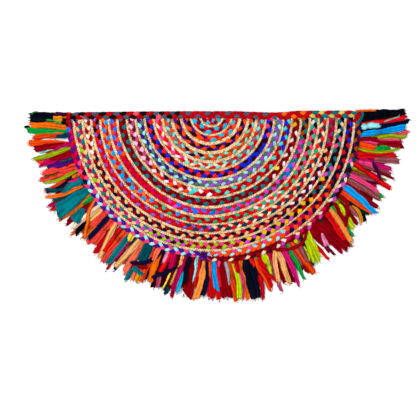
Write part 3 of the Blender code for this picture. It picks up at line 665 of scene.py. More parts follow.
def closed_tube(grid, dyes, along):
    """A closed tube of a grid of points, some rows along it and some columns round it, with a fan of
    triangles to the middle of each end. The cloth map is the distance along and the distance round."""
    rows, columns = grid.shape[:2]
    points = np.concatenate((grid.reshape(-1, 3), grid[[0, -1]].mean(axis=1)))
    tints = np.concatenate((dyes.reshape(-1, 3), dyes[[0, -1]].mean(axis=1)))
    here = np.arange(columns)
    after = (here + 1) % columns
    row = np.arange(rows - 1)[:, None] * columns
    quads = np.stack((row + here, row + columns + here, row + columns + after, row + after), axis=-1)
    last = (rows - 1) * columns
    fans = np.concatenate((
        np.stack((np.full(columns, rows * columns), here, after), axis=-1),
        np.stack((np.full(columns, rows * columns + 1), last + after, last + here), axis=-1),
    ))
    sides = np.linalg.norm(np.roll(grid, -1, axis=1) - grid, axis=2).sum(axis=1)
    strip = sides.mean() / columns
    quad_map = np.zeros((rows - 1, columns, 4, 2))
    quad_map[:, :, (0, 3), 0] = along[:-1, None, None]
    quad_map[:, :, (1, 2), 0] = along[1:, None, None]
    quad_map[:, :, :, 1] = (here[:, None] + np.array((0, 0, 1, 1))) * strip
    fan_map = np.zeros((2, columns, 3, 2))
    fan_map[:, :, :, 0] = along[[0, -1], None, None]
    fan_map[:, :, 1:, 1] = (here[:, None] + np.array((0, 1))) * strip
    return Patch(points, tints, quads.reshape(-1, 4), fans, quad_map.reshape(-1, 2), fan_map.reshape(-1, 2))


def new_piece(name, patches, material):
    """One object of closed patches, smooth, with its cloth map and the dye at each point, which has painted
    shade and light in it.
    """
    firsts = np.cumsum([0] + [len(patch.points) for patch in patches[:-1]])
    points = np.concatenate([patch.points for patch in patches])
    dyes = np.concatenate([patch.dyes for patch in patches])
    quads = np.concatenate([patch.quads + first for patch, first in zip(patches, firsts)])
    fans = np.concatenate([patch.fans + first for patch, first in zip(patches, firsts)])
    cloth_map = np.concatenate([p.quad_map for p in patches] + [p.fan_map for p in patches])
    corners = np.concatenate((quads.ravel(), fans.ravel()))
    sizes = np.concatenate((np.full(len(quads), 4), np.full(len(fans), 3)))
    mesh = bpy.data.meshes.new(name)
    mesh.vertices.add(len(points))
    mesh.vertices.foreach_set("co", points.astype(np.float32).ravel())
    mesh.loops.add(len(corners))
    mesh.loops.foreach_set("vertex_index", corners.astype(np.int32))
    mesh.polygons.add(len(sizes))
    mesh.polygons.foreach_set("loop_start", (np.cumsum(sizes) - sizes).astype(np.int32))
    mesh.update(calc_edges=True)
    mesh.shade_smooth()
    mesh.uv_layers.new(name="cloth").data.foreach_set("uv", cloth_map.astype(np.float32).ravel())
    # The dye attribute holds each point's dye with its painted shade and light
    tints = np.concatenate((dyes, np.ones((len(dyes), 1))), axis=1)
    attribute = mesh.color_attributes.new("dye", "FLOAT_COLOR", "POINT")
    attribute.data.foreach_set("color", tints.astype(np.float32).ravel())
    mesh.materials.append(material)
    piece = bpy.data.objects.new(name, mesh)
    bpy.context.scene.collection.objects.link(piece)
    return piece


# How a braid's strands lie: half a strand's width as a share of the braid's, how high a strand
# rises and falls as a share of the braid's height, how long it is held at the braid's sides, the
# fineness of its mesh, and the shape and unevenness of its section
Twine = namedtuple("Twine", "fullness rise hold steps sides squareness fold uneven")
COTTON_TWINE = Twine(
    fullness=0.225, rise=0.26, hold=0.0, steps=20, sides=12, squareness=0.5, fold=0.07, uneven=0.12,
)
JUTE_TWINE = Twine(
    fullness=0.25, rise=0.26, hold=0.12, steps=12, sides=6, squareness=1.0, fold=0.0, uneven=0.15,
)
EDGE_TWINE = Twine(
    fullness=0.245, rise=0.26, hold=0.12, steps=26, sides=16, squareness=0.5, fold=0.07, uneven=0.12,
)

# The phase at which a strand has a lobe at the braid's side
LOBE_PHASE = 3 * np.pi / 4

# How much wider a strand is where it lies on top. A strand is pressed in by SIDE_PRESS of what stands
# past SIDE_SHARE of the braid's half width
TOP_SWELL = 0.10
SIDE_SHARE = 0.93
SIDE_PRESS = 0.75

# Over how many widths of the braid a strand's width and its folds wander, how far the folds turn round
# it in radians, and how strong the second fold is beside the first
LOOSE_EVERY = 0.8
TURN_EVERY = 1.5
FOLD_TURN = 1.5
SECOND_FOLD = 0.8

# Painted shade on a strand: how bright it is on its underside and where it dips under the others, each
# with the heights between which it grows brighter, as shares of its half height and of its rise; and how
# strongly its folds are painted darker in their hollows and lighter on their tops
LOW_SHADE = 0.27
LOW_FADE = (-0.5, 0.7)
UNDER_SHADE = 0.60
UNDER_FADE = (-0.3, 0.6)
FOLD_PAINTED_SHADING = 0.4

# The least and the most by which a lobe's dye is multiplied, and the power by which most lobes of jute
# are nearer the pale fibre
LOBE_TONES = (0.82, 1.12)
JUTE_PALE = 1.5


def strand(twine, middle, aside, width, height, phase, dye_of_lobe, random):
    """One strand of a plait. It swings to the side as the sine of its phase, with a share of the sine of
    three times the phase that holds it near the sides, and rises over its neighbours as minus the
    sine of twice the phase. Its section is a squarish oval with soft folds along it, pressed in where
    it passes the braid's sides. Its cloth changes only where it lies lowest, under the others, and
    each cloth has its own stoutness."""
    lobe = np.floor((phase - np.pi / 4) / np.pi).astype(int)
    lobe_phases = LOBE_PHASE + np.pi * np.arange(lobe.min(), lobe.max() + 1)
    tints, stout = dye_of_lobe(lobe_phases)
    stout = np.interp(phase, lobe_phases, stout)
    half = twine.fullness * width
    swing = (width / 2 - half) * (np.sin(phase) + twine.hold * np.sin(3 * phase)) / (1 - twine.hold)
    rise = twine.rise * height
    up = -np.sin(2 * phase)
    path = np.column_stack((middle + aside * swing[:, None], height / 2 + rise * up))
    along = length_along(path)
    right, above = directions(path)
    loose = 1 + twine.uneven * wander(along, width.mean() * LOOSE_EVERY, random)
    half_wide = half * stout * loose * (1 + TOP_SWELL * up)
    half_high = (height / 2 - rise) * stout * (1 + twine.uneven * wander(along, width.mean(), random))
    around = angles_round(twine.sides)
    across = squarer(np.cos(around), twine.squareness)
    rising = squarer(np.sin(around), twine.squareness)
    turn = FOLD_TURN * wander(along, width.mean() * TURN_EVERY, random)[:, None]
    folds = 1 + twine.fold * (
        np.cos(2 * around + turn) + SECOND_FOLD * np.cos(3 * around - 2 * turn)
    )
    grid = (
        path[:, None, :]
        + right[:, None, :] * (half_wide[:, None] * across * folds)[:, :, None]
        + above[:, None, :] * (half_high[:, None] * rising * folds)[:, :, None]
    )
    aside_out = ((grid[:, :, :2] - middle[:, None, :]) * aside[:, None, :]).sum(axis=2)
    past = np.maximum(np.abs(aside_out) - SIDE_SHARE * width[:, None] / 2, 0.0) * np.sign(aside_out)
    grid[:, :, :2] -= SIDE_PRESS * past[:, :, None] * aside[:, None, :]
    grid[:, :, 2] = np.maximum(grid[:, :, 2], 0.0)
    tints = tints[lobe - lobe.min()]
    # Painted shade, darker on the strand's underside and where it dips under the others, and painted shade
    # and light along its folds, all multiplied into its dyes
    shade = LOW_SHADE + (1 - LOW_SHADE) * smooth_step(rising, *LOW_FADE)
    shade = shade * (UNDER_SHADE + (1 - UNDER_SHADE) * smooth_step(up, *UNDER_FADE))[:, None]
    dyes = tints[:, None, :] * (shade * (1 - FOLD_PAINTED_SHADING + FOLD_PAINTED_SHADING * folds))[:, :, None]
    return closed_tube(grid, dyes, along)


def plait(twine, middle, aside, width, height, phase, order, dye_of_lobe, random):
    """The three strands of a plait, each a third of a round behind the one before."""
    return [
        strand(
            twine, middle, aside, width, height, phase - order * which * 2 * np.pi / 3,
            lambda phases, which=which: dye_of_lobe(which, phases + order * which * 2 * np.pi / 3), random,
        )
        for which in range(3)
    ]


def table_dyes(stretches, place_of_phase, random):
    """A function that gives each lobe its strand's cloth, read at the lobe's own place along the braid,
    with a small change of its own, and how stout that cloth is."""
    starts = np.array([start for start, _ in stretches])
    names = [cloth.split() for _, cloth in stretches]

    def dye_of_lobe(which, phases):
        rows = np.searchsorted(starts, place_of_phase(phases), side="right") - 1
        sides = np.where(np.sin(phases) > 0, 0, -1)
        cloths = [names[max(row, 0)][which].split("/")[side] for row, side in zip(rows, sides)]
        tints = np.array([linear(cloth) for cloth in cloths])
        stout = np.array([STOUT.get(cloth, STOUT_USUAL) for cloth in cloths])
        return tints * random.uniform(*LOBE_TONES, len(phases))[:, None], stout

    return dye_of_lobe


def jute_dyes(random):
    """A function that gives each lobe of jute its own mix of pale and tan fibre."""
    pale = linear("jute")
    tan = linear("tan")

    def dye_of_lobe(which, phases):
        share = random.uniform(0.0, 1.0, len(phases))[:, None] ** JUTE_PALE
        return pale + (tan - pale) * share, np.ones(len(phases))

    return dye_of_lobe


# How far the rings' ends reach in under the edge braid
TUCK = 0.0028

# The fineness in degrees with which the place where a ring comes out is looked for
SHOWN_STEP = 0.05


def shown_angles(radius_at, start, end, step):
    """Even angles along a row, from where it comes out under the edge braid to where it goes back."""
    fine = np.arange(start, end, SHOWN_STEP)
    points = place(fine, radius_at(fine))
    sideways = points[:, 0] - CENTRE[0] - EDGE_MIDDLE[0]
    line = CENTRE[1] + EDGE_MIDDLE[1] + EDGE_SLOPE * sideways - EDGE_WIDTH / 2 + TUCK
    shown = fine[points[:, 1] < line]
    return np.linspace(shown[0], shown[-1], max(3, round((shown[-1] - shown[0]) / step)))


def ring_braid(name, node, slot, material, twine, band, extra, ends, rounds, dyes, random):
    """A half ring of plait, or a part of one, between the inner and outer radius of its band."""
    at, number = np.array(rounds, float).T
    radius_at = lambda angle: sum(band(angle / 180.0)) / 2
    period = (at[-1] - at[0]) / (number[-1] - number[0])
    angles = shown_angles(radius_at, ends[0], ends[1], period / twine.steps)
    inner, outer = band(angles / 180.0)
    middle = place(angles, (inner + outer) / 2)
    aside = np.column_stack((np.cos(np.radians(angles)), np.sin(np.radians(angles))))
    phase = LOBE_PHASE + 2 * np.pi * carried_on(angles, at, number)
    height = JUTE_HEIGHT if slot == "jute" else COTTON_HEIGHT
    strands = plait(twine, middle, aside, outer - inner + extra, height, phase, 1, dyes, random)
    settle(new_piece(name, strands, material), slot, node)


def settle(piece, slot, *nodes):
    """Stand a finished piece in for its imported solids."""
    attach(piece, "root")
    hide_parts(*nodes)
    return piece


# How much wider than its band a plait is, and how long one round of a jute plait is
COTTON_EXTRA = 0.0020
JUTE_EXTRA = 0.0012
JUTE_ROUND = 0.017

# From where to where the parted row and the last rows run, in degrees, and the turn at which the last
# jute row's rounds are measured
LEFT_PART = (2.0, 85.0)
RIGHT_PART = (88.6, 180.0)
LAST_PART = (88.0, 177.0)
LAST_JUTE_PART = (180 * LAST_JUTE_START, 180.0)
LAST_JUTE_TURN = 0.85

# Beside the knot the last cotton row is pushed in against the parted one: over which turns that eases
# off, how far it is pushed, and how far the last row's thin start laps over its sides
BESIDE_KNOT = (0.49, 0.56)
PUSH = 0.0045
LAST_LAP = {"inner": 0.0022, "outer": 0.0030}


def thick_last_band(turn):
    """The last cotton row as it shows: its thin start is a full strand that laps over both sides, and
    pushes the row inside it inwards beside the knot."""
    inner, outer = last_cotton_band(turn)
    thin = 1 - smooth_step(turn, *SWELL_TURNS)
    beside = 1 - smooth_step(turn, *BESIDE_KNOT)
    return (
        inner - LAST_LAP["inner"] * thin - PUSH * beside,
        outer + LAST_LAP["outer"] * thin - PUSH / 3 * beside,
    )


def pushed_band(turn):
    """The parted row's right part, narrowed beside the knot by the last row."""
    inner, outer = cotton_band(WHOLE_ROWS, turn)
    return inner, outer - PUSH * (1 - smooth_step(turn, *BESIDE_KNOT))


def cotton_rows(material, random):
    """The cotton half rings, the row that the knot parts in two, and the last one on the right."""
    stretches = [(f"cotton_{row:02d}", row, (0.0, 180.0)) for row in range(WHOLE_ROWS)]
    stretches.append((f"cotton_{WHOLE_ROWS}_left", WHOLE_ROWS, LEFT_PART))
    stretches.append((f"cotton_{WHOLE_ROWS}_right", WHOLE_ROWS, RIGHT_PART))
    stretches.append((f"cotton_{LAST_ROW}", LAST_ROW, LAST_PART))
    for node, row, ends in stretches:
        rounds = ROWS[row]["rounds"]
        at, number = np.array(rounds, float).T
        angle_of = lambda phases, at=at, number=number: (
            carried_on((phases - LOBE_PHASE) / (2 * np.pi), number, at)
        )
        band = lambda turn, row=row: cotton_band(row, turn)
        if row == LAST_ROW:
            band = thick_last_band
        elif node.endswith("right"):
            band = pushed_band
        ring_braid(
            node + "_plait", node, "cotton_rag", material, COTTON_TWINE, band, COTTON_EXTRA, ends,
            rounds, table_dyes(ROWS[row]["cloth"], angle_of, random), random,
        )


def jute_rows(material, random):
    """The jute half rings, and the last one on the right."""
    for row in range(1, LAST_ROW + 1):
        whole = row < LAST_ROW
        band = (lambda turn, row=row: jute_band(row, turn)) if whole else last_jute_band
        period = math.degrees(JUTE_ROUND / sum(band(0.5 if whole else LAST_JUTE_TURN)) * 2)
        start = random.uniform(0, period)
        node = f"jute_{row:02d}"
        ring_braid(
            node + "_plait", node, "jute", material, JUTE_TWINE, band, JUTE_EXTRA,
            (0.0, 180.0) if whole else LAST_JUTE_PART, ((start, 0), (start + period, 1)),
            jute_dyes(random), random,
        )


# A wrap's height as a share of the edge braid's: this much, and the rest as a part of a half sine wave,
# from and to these shares of the wave
WRAP_LOW = 0.3
WRAP_ARCH = (0.1, 0.9)

# How far, to either side, the edge braid's strays are smoothed
STRAY_REACH = 0.01


def strays(run):
    """How far the edge braid strays to the far side: the mean of three places 10 mm apart."""
    at, aside = np.array(EDGE_STRAYS).T
    return sum(np.interp(run + shift, at, aside) for shift in (-STRAY_REACH, 0.0, STRAY_REACH)) / 3


def edge_place(run):
    """Points of the edge braid's middle line at a run from its middle: straight, a turn down, a tail."""
    straight = EDGE_HALF_SPAN - EDGE_TURN_RADIUS
    quarter = EDGE_TURN_RADIUS * math.pi / 2
    bend = np.clip(np.abs(run) - straight, 0.0, quarter) / EDGE_TURN_RADIUS
    tail = np.maximum(np.abs(run) - straight - quarter, 0.0)
    out = np.minimum(np.abs(run), straight) + EDGE_TURN_RADIUS * np.sin(bend)
    sideways = np.copysign(out, run)
    down = EDGE_TURN_RADIUS * (1.0 - np.cos(bend)) + tail
    return np.column_stack((
        CENTRE[0] + EDGE_MIDDLE[0] + sideways,
        CENTRE[1] + EDGE_MIDDLE[1] + EDGE_SLOPE * sideways - down + strays(run),
    ))


def edge_braid(material, random):
    """The plait along the straight edge, and the strands at its corners. The plait's rounds are uneven,
    so its phase is read between the lobes."""
    straight = EDGE_HALF_SPAN - EDGE_TURN_RADIUS
    reach = straight + EDGE_TURN_RADIUS * math.pi / 2 + EDGE_TAIL
    usual = (EDGE_LOBES[-1] - EDGE_LOBES[0]) / (len(EDGE_LOBES) - 1)
    runs = np.linspace(-reach, reach, round(2 * reach / usual * EDGE_TWINE.steps))
    start = straight - EDGE_NARROWING["before"]
    end = straight + EDGE_NARROWING["after"]
    width = EDGE_WIDTH + (EDGE_END_WIDTH - EDGE_WIDTH) * smooth_step(np.abs(runs), start, end)
    middle = edge_place(runs)
    forward = np.gradient(middle, axis=0)
    forward /= np.linalg.norm(forward, axis=1)[:, None]
    aside = np.column_stack((-forward[:, 1], forward[:, 0]))
    rounds = -np.arange(len(EDGE_LOBES))
    phase = LOBE_PHASE + 2 * np.pi * np.interp(runs, EDGE_LOBES, rounds)
    run_of = lambda phases: np.interp((LOBE_PHASE - phases) / (2 * np.pi), -rounds, EDGE_LOBES)
    strands = plait(
        EDGE_TWINE, middle, aside, width, EDGE_HEIGHT, phase, -1,
        table_dyes(EDGE_CLOTH, run_of, random), random,
    )
    for wrap in EDGE_WRAPS:
        path = curved_way(CENTRE + np.array(wrap["way"]) * MM, 2, FINE_GRID[0])
        widths = np.full(len(path), wrap["width"] * MM)
        arch = np.sin(np.pi * np.linspace(*WRAP_ARCH, len(path)))
        lift = EDGE_HEIGHT * (WRAP_LOW + (1 - WRAP_LOW) * arch)
        strands.append(ribbon(wrap["cloth"], path, widths, lift, FINE_GRID, random))
    settle(new_piece("edge_braid_plait", strands, material), "edge_rag", "edge_braid")


# A strip's cloth: half its thickness; how high a fold stands and how wide it may be; how high and long a
# crumple is, and how far it may lean, in radians over half the width; and how low any of it may lie
STRIP_THICK = 0.0006
FOLD_HIGH = 0.0004
FOLD_WIDE = (0.0050, 0.0110)
CRUMPLE_HIGH = 0.0002
CRUMPLE_LONG = 0.013
CRUMPLE_LEAN = 2.5
LEAST_HIGH = 0.0002

# Its section: the powers that make the oval fuller, and how much thinner it is at its edges
FULL_ACROSS = 0.85
FULL_HIGH = 0.75
EDGE_THIN = 0.35

# How far its folds drift across in radians, and over what length they do
FOLD_DRIFT = 1.6
DRIFT_EVERY = 0.028

# Its sides: how much each wanders as a share of the width, over what length, and how ragged it is
SIDE_WANDER = 0.10
SIDE_EVERY = 0.010
RAGGED = 0.0005

# Its end: how far it may be cut aslant as a share of the half width, how many teeth it has, how long
# they may be, and how late along the strip, as a power, the slant and the teeth begin
SLANT = 0.8
TEETH = 8
FRAY = 0.0036
SLANT_LATE = 8
TEETH_LATE = 14

# Its twist: how many strips have one, how far along, how long, how much narrower it is, and how much
# darker its painted shade makes it
TWIST_CHANCE = 0.3
TWIST_PLACE = (0.25, 0.6)
TWIST_LONG = 0.09
TWIST_NARROW = 0.34
TWIST_SHADE = 0.3

# Its tones: painted shade in the folds and painted light on their tops, and painted shade on the underside
# and at the edges, each with the values between which it grows brighter; painted shade in the crumples; and
# a tone that wanders along it at random
FOLD_SHADE = 0.48
FOLD_PAINTED_LIGHT = 1.1
FOLD_FADE = (-1.0, 0.3)
EDGE_SHADE = 0.2
EDGE_FADE = (-0.3, 0.8)
CRUMPLE_PAINTED_SHADE = 0.07
TONE_WANDER = 0.10
TONE_EVERY = 0.02

# The painted shade of each layer, counted up from the floor, and of the lower strips under them all, darker
# the lower a strip lies
LAYER_PAINTED_SHADES = (0.82, 0.92, 1.0, 1.0)
UNDER_PAINTED_SHADE = 0.68

# A strip's width as a share of its chart's; how much narrower it is at its root and at its very end, and
# until and from which share of its length; and how late it goes from one width to the other, as a power
STRIP_EXTRA = 0.98
ROOT_GATHER = 0.34
GATHERED_UNTIL = 0.3
END_GATHER = 0.12
ENDING_FROM = 0.95
WIDTH_LATE = 1.3

# How crooked a strip lies, over what length, how far its root is tucked under the rim, how much of its
# lift it has there, and by which share of its length it has all of it: where it starts at the rim,
# where it comes out from under other strips, and where it lies across them
CROOKED = 0.0028
CROOKED_EVERY = 0.030
ROOT_TUCK = 0.003
ROOT_LOW = 0.4
LIFTED_BY = {"rim": 0.2, "strips": 0.06, "across": 0.01}

# Rows along and columns round a strip
FINE_GRID = (26, 18)
PLAIN_GRID = (18, 12)

# The map of how high the strips are piled: its corner, and the size and the number of its squares; how
# many places across a strip are read, and how many rows are taken together
PILE_CORNER = np.array((-0.50, -0.28))
PILE_SQUARE = 0.0025
PILE_SQUARES = (400, 220)
PILE_ACROSS = 9
PILE_ROWS = 5


def ribbon(cloth, path, widths, lift, grid_size, random, tone=1.0):
    """A flat strip of rag along a path. Its section is a thin oval, thrown into folds that run along
    it as a cosine of the place across, with small crumples over them. Some strips look twisted at one
    place, where they are narrower and thicker, and darker by painted shade. The edges are ragged, and
    the end is cut aslant and frayed. Its dye carries painted shade in the folds, the crumples, on the
    underside and at the edges, and painted light on the folds' tops."""
    rows, columns = grid_size
    share = np.linspace(0.0, 1.0, rows)
    along = length_along(path)
    right, _ = directions(path)
    around = angles_round(columns)
    across = squarer(np.cos(around), FULL_ACROSS)
    rising = squarer(np.sin(around), FULL_HIGH)
    waves = widths.mean() / random.uniform(*FOLD_WIDE)
    drift = random.uniform(0, 2 * np.pi) + FOLD_DRIFT * wander(along, DRIFT_EVERY, random)
    folds = np.cos(np.pi * waves * across[None, :] * widths[:, None] / widths.mean() + drift[:, None])
    lean = random.uniform(-CRUMPLE_LEAN, CRUMPLE_LEAN)
    crumples = np.cos(2 * np.pi * along[:, None] / CRUMPLE_LONG + lean * across + 2 * drift[:, None])
    twisted = random.random() < TWIST_CHANCE
    twist = twisted * np.exp(-((share - random.uniform(*TWIST_PLACE)) / TWIST_LONG) ** 2)
    half = widths / 2 * (1 - TWIST_NARROW * twist)
    left, other = [
        half * (1 + SIDE_WANDER * wander(along, SIDE_EVERY, random)) + random.uniform(-RAGGED, RAGGED, rows)
        for _ in range(2)
    ]
    sides = np.where(across > 0, other[:, None], left[:, None])
    slant = random.uniform(-SLANT, SLANT)
    teeth = np.interp(across, np.linspace(-1, 1, TEETH), random.uniform(-FRAY, FRAY / 2, TEETH))
    pull = across * slant * half[-1] * share[:, None] ** SLANT_LATE
    pull = pull + teeth * share[:, None] ** TEETH_LATE
    heights = STRIP_THICK * (1 + twist)[:, None] * rising * (1 - EDGE_THIN * across ** 2)
    heights += FOLD_HIGH * folds + CRUMPLE_HIGH * crumples + lift[:, None]
    grid = path[:, None, :] + right[:, None, :] * (sides * across)[:, :, None]
    grid = grid + end_direction(path) * pull[:, :, None]
    grid[:, :, 2] = np.maximum(heights + STRIP_THICK, LEAST_HIGH)
    # Painted shade and light: darker in the folds and lighter on their tops, darker in the crumples, on the
    # underside, at the edges and where the strip looks twisted, times a tone that wanders at random
    shade = FOLD_SHADE + (FOLD_PAINTED_LIGHT - FOLD_SHADE) * smooth_step(folds, *FOLD_FADE)
    shade = shade * (1 - CRUMPLE_PAINTED_SHADE + CRUMPLE_PAINTED_SHADE * crumples)
    shade = shade * (EDGE_SHADE + (1 - EDGE_SHADE) * smooth_step(rising, *EDGE_FADE))
    shade = shade * (1 - TWIST_SHADE * twist)[:, None]
    shade = shade * (1 + TONE_WANDER * wander(along, TONE_EVERY, random))[:, None]
    # tone is the painted shade of the strip's layer, multiplied into the dye
    return closed_tube(grid, linear(cloth) * tone * shade[:, :, None], along)


def laid_on(pile, path, widths, share_low):
    """How high each row of a strip is lifted for what is piled under it: the highest place under the
    row and its neighbours, smoothed, and less over the first share of it, where it comes out from
    under the braids, so that there it can pass into what it lies on. The pile grows by the strip."""
    right, _ = directions(path)
    spread = np.linspace(-0.5, 0.5, PILE_ACROSS)[None, :, None]
    flat = path[:, None, :2] + right[:, None, :2] * widths[:, None, None] * spread
    flat = np.concatenate((flat, (flat + np.roll(flat, -1, axis=0)) / 2), axis=1)
    flat[-1, PILE_ACROSS:] = flat[-1, :PILE_ACROSS]
    column, row = np.moveaxis(((flat - PILE_CORNER) / PILE_SQUARE).astype(int), -1, 0)
    under = np.pad(pile[column, row].max(axis=1), PILE_ROWS - 1, mode="edge")
    held = np.lib.stride_tricks.sliding_window_view(under, PILE_ROWS).max(axis=1)
    lift = np.lib.stride_tricks.sliding_window_view(held, PILE_ROWS).mean(axis=1)
    lift = lift * (ROOT_LOW + (1 - ROOT_LOW) * smooth_step(np.linspace(0, 1, len(lift)), 0.0, share_low))
    top = lift[:, None] + STRIP_THICK + FOLD_HIGH + CRUMPLE_HIGH
    np.maximum.at(pile, (column, row), np.broadcast_to(top, column.shape))
    return lift


def straight_path(root, tip, bend, rows, random):
    """A strip's middle line from root to tip: bent to the side by half a sine wave, and a little
    crooked."""
    share = np.linspace(0.0, 1.0, rows)
    onward = tip - root
    long = np.linalg.norm(onward)
    sideways = np.array((-onward[1], onward[0])) / long
    arch = np.sin(np.pi * share)
    swing = bend * arch + CROOKED * wander(share * long, CROOKED_EVERY, random) * arch
    flat = root + onward * share[:, None] + sideways * swing[:, None]
    return np.column_stack((flat, np.zeros(rows)))


def strip_widths(width, end, rows):
    """A strip's width: gathered at the root, full farther on, and a little less at its very end."""
    share = np.linspace(0.0, 1.0, rows)
    gathered = 1 - ROOT_GATHER + ROOT_GATHER * smooth_step(share, 0.0, GATHERED_UNTIL)
    ending = 1 - END_GATHER * smooth_step(share, ENDING_FROM, 1.0)
    return STRIP_EXTRA * (width + (end - width) * share ** WIDTH_LATE) * gathered * ending


# Frayed threads: from how many to fewer than how many a strip, half their thickness, their length, their
# lean and curl as shares of it, how far back from the strip's end they start, how far aside as a share
# of its width, and the points along one
THREADS = (2, 7)
THREAD_THICK = (0.0002, 0.00045)
THREAD_LONG = (0.005, 0.012)
THREAD_LEAN = 0.35
THREAD_CURL = 0.5
THREAD_HELD = 0.004
THREAD_SPREAD = 0.46
THREAD_POINTS = 6


def frayed_end(cloth, path, widths, lift, random):
    """Loose threads at a strip's cut end: each leaves it a little aslant, curls to one side as the
    square of its length, and sinks to the floor the same way."""
    onward = end_direction(path)
    side = np.cross(UP, onward)
    share = np.linspace(0.0, 1.0, THREAD_POINTS)
    threads = []
    for _ in range(random.integers(*THREADS)):
        long = random.uniform(*THREAD_LONG)
        swing = random.uniform(-THREAD_LEAN, THREAD_LEAN) * share
        swing += random.uniform(-THREAD_CURL, THREAD_CURL) * share ** 2
        aside = random.uniform(-THREAD_SPREAD, THREAD_SPREAD)
        start = path[-1] - onward * THREAD_HELD + side * widths[-1] * aside
        way = start + onward * (long * share)[:, None] + side * (long * swing)[:, None]
        way[:, 2] = (lift[-1] + STRIP_THICK) * (1 - share ** 2) + THREAD_THICK[1]
        threads.append(yarn_tube(way, random.uniform(*THREAD_THICK), cloth, random))
    return threads


def charted_strips(pile, layers, random, threads, thread_random, cuts):
    """The strips that show, as the chart gives them, of some layers. In a layer every third one is
    laid first, so that neighbours lie on each other and don't climb in a row. The length and mean
    width that each is cut to, by the chart, go into cuts."""
    made = []
    turns = [(layer, third) for layer in layers for third in range(3)]
    for layer, third in turns:
        for number, strip in enumerate(STRIPS):
            if strip.layer != layer or number % 3 != third:
                continue
            start = strip.start * MM or rim_radius(np.array(strip.root / 180.0)) - ROOT_TUCK
            rows = FINE_GRID[0]
            path = straight_path(
                place(strip.root, start), place(strip.tip, strip.reach * MM), strip.bend * MM, rows, random
            )
            cuts.append((strip.reach * MM - float(start), (strip.width + strip.end) / 2 * MM))
            widths = strip_widths(strip.width * MM, strip.end * MM, rows)
            lift = laid_on(pile, path, widths, LIFTED_BY["strips" if strip.start else "rim"])
            made.append(ribbon(strip.cloth, path, widths, lift, FINE_GRID, random, LAYER_PAINTED_SHADES[layer]))
            threads += frayed_end(strip.cloth, path, widths, lift, thread_random)
    return made


# The lower strips: the first one and the step between them in degrees, their width in millimetres and
# its share at the tip, how much shorter they are than the strips close by, and how far in degrees they
# stray from their step and turn
UNDER_FIRST = 0.9
UNDER_STEP = 1.35
UNDER_WIDTH = (10, 15)
UNDER_END = 0.8
UNDER_SHORT = (0.012, 0.032)
UNDER_STRAY = 0.4
UNDER_TURN = 0.8

# What counts as a long strip, in millimetres, and how many of those close by are looked at
LONG_REACH = 410
LONG_WIDTH = 8
CLOSE_BY = 3


def under_strips(pile, random, cuts):
    """The lower strips, which fill the room between: each takes the cloth of a long strip close by.
    The length and mean width that each is cut to go into cuts."""
    long_ones = [strip for strip in STRIPS if strip.reach > LONG_REACH and strip.width > LONG_WIDTH]
    middles = np.array([(strip.root + strip.tip) / 2 for strip in long_ones])
    reaches = np.array([strip.reach for strip in long_ones]) * MM
    made = []
    angles = np.arange(UNDER_FIRST, 180.0, UNDER_STEP)
    for angle in np.concatenate((angles[::2], angles[1::2])):
        angle += random.uniform(-UNDER_STRAY, UNDER_STRAY)
        near = np.argsort(np.abs(middles - angle))[:CLOSE_BY]
        chosen = long_ones[near[random.integers(CLOSE_BY)]]
        reach = np.median(reaches[near]) - random.uniform(*UNDER_SHORT)
        width = random.uniform(*UNDER_WIDTH) * MM
        turn = random.uniform(-UNDER_TURN, UNDER_TURN)
        if any(low < angle < high for low, high in BARE_PLACES):
            continue
        rows = PLAIN_GRID[0]
        start = rim_radius(np.array(angle / 180.0)) - ROOT_TUCK
        path = straight_path(place(angle, start), place(angle + turn, reach), 0.0, rows, random)
        cuts.append((float(reach - start), width * (1 + UNDER_END) / 2))
        widths = strip_widths(width, width * UNDER_END, rows)
        lift = laid_on(pile, path, widths, LIFTED_BY["rim"])
        made.append(ribbon(chosen.cloth, path, widths, lift, PLAIN_GRID, random, UNDER_PAINTED_SHADE))
    return made


def curved_way(points, degree, rows):
    """A flat curve through or near some points: one polynomial for each direction."""
    marks = np.linspace(0.0, 1.0, len(points))
    share = np.linspace(0.0, 1.0, rows)
    flat = [np.polyval(np.polyfit(marks, points[:, axis], degree), share) for axis in (0, 1)]
    return np.column_stack((*flat, np.zeros(rows)))


def crossing_strips(pile, random, cuts):
    """The strips that lie across the others' roots. The length of each one's way, point to point, and
    its width go into cuts."""
    made = []
    for strip in CROSSING:
        angles, radii = np.array(strip["way"]).T
        stops = place(angles, radii * MM)
        cuts.append((length_along(stops)[-1], strip["width"] * MM))
        path = curved_way(stops, 3, FINE_GRID[0])
        widths = np.full(len(path), strip["width"] * MM)
        lift = laid_on(pile, path, widths, LIFTED_BY["across"])
        made.append(ribbon(strip["cloth"], path, widths, lift, FINE_GRID, random))
    return made


def fringe(material, random):
    """The rag fringe: the lower and the upper strips, and their frayed threads, lying on the floor, each
    set a piece of its own. The length and mean width that each strip is cut to are gathered, one list for
    each set of strips, but nothing here reads them."""
    pile = np.zeros(PILE_SQUARES)
    threads = []
    thread_random = np.random.default_rng(THREAD_SEED)
    low_cuts = []
    top_cuts = []
    low_strips = under_strips(pile, random, low_cuts)
    low_strips += charted_strips(pile, (0, 1), random, threads, thread_random, low_cuts)
    top_strips = charted_strips(pile, (2, 3), random, threads, thread_random, top_cuts)
    top_strips += crossing_strips(pile, random, top_cuts)
    settle(new_piece("fringe_threads", threads, material), "fringe_rag", "fringe")
    for name, strips, cuts in (
        ("fringe_low_strips", low_strips, low_cuts), ("fringe_top_strips", top_strips, top_cuts),
    ):
        piece = settle(new_piece(name, strips, material), "fringe_rag", "fringe")


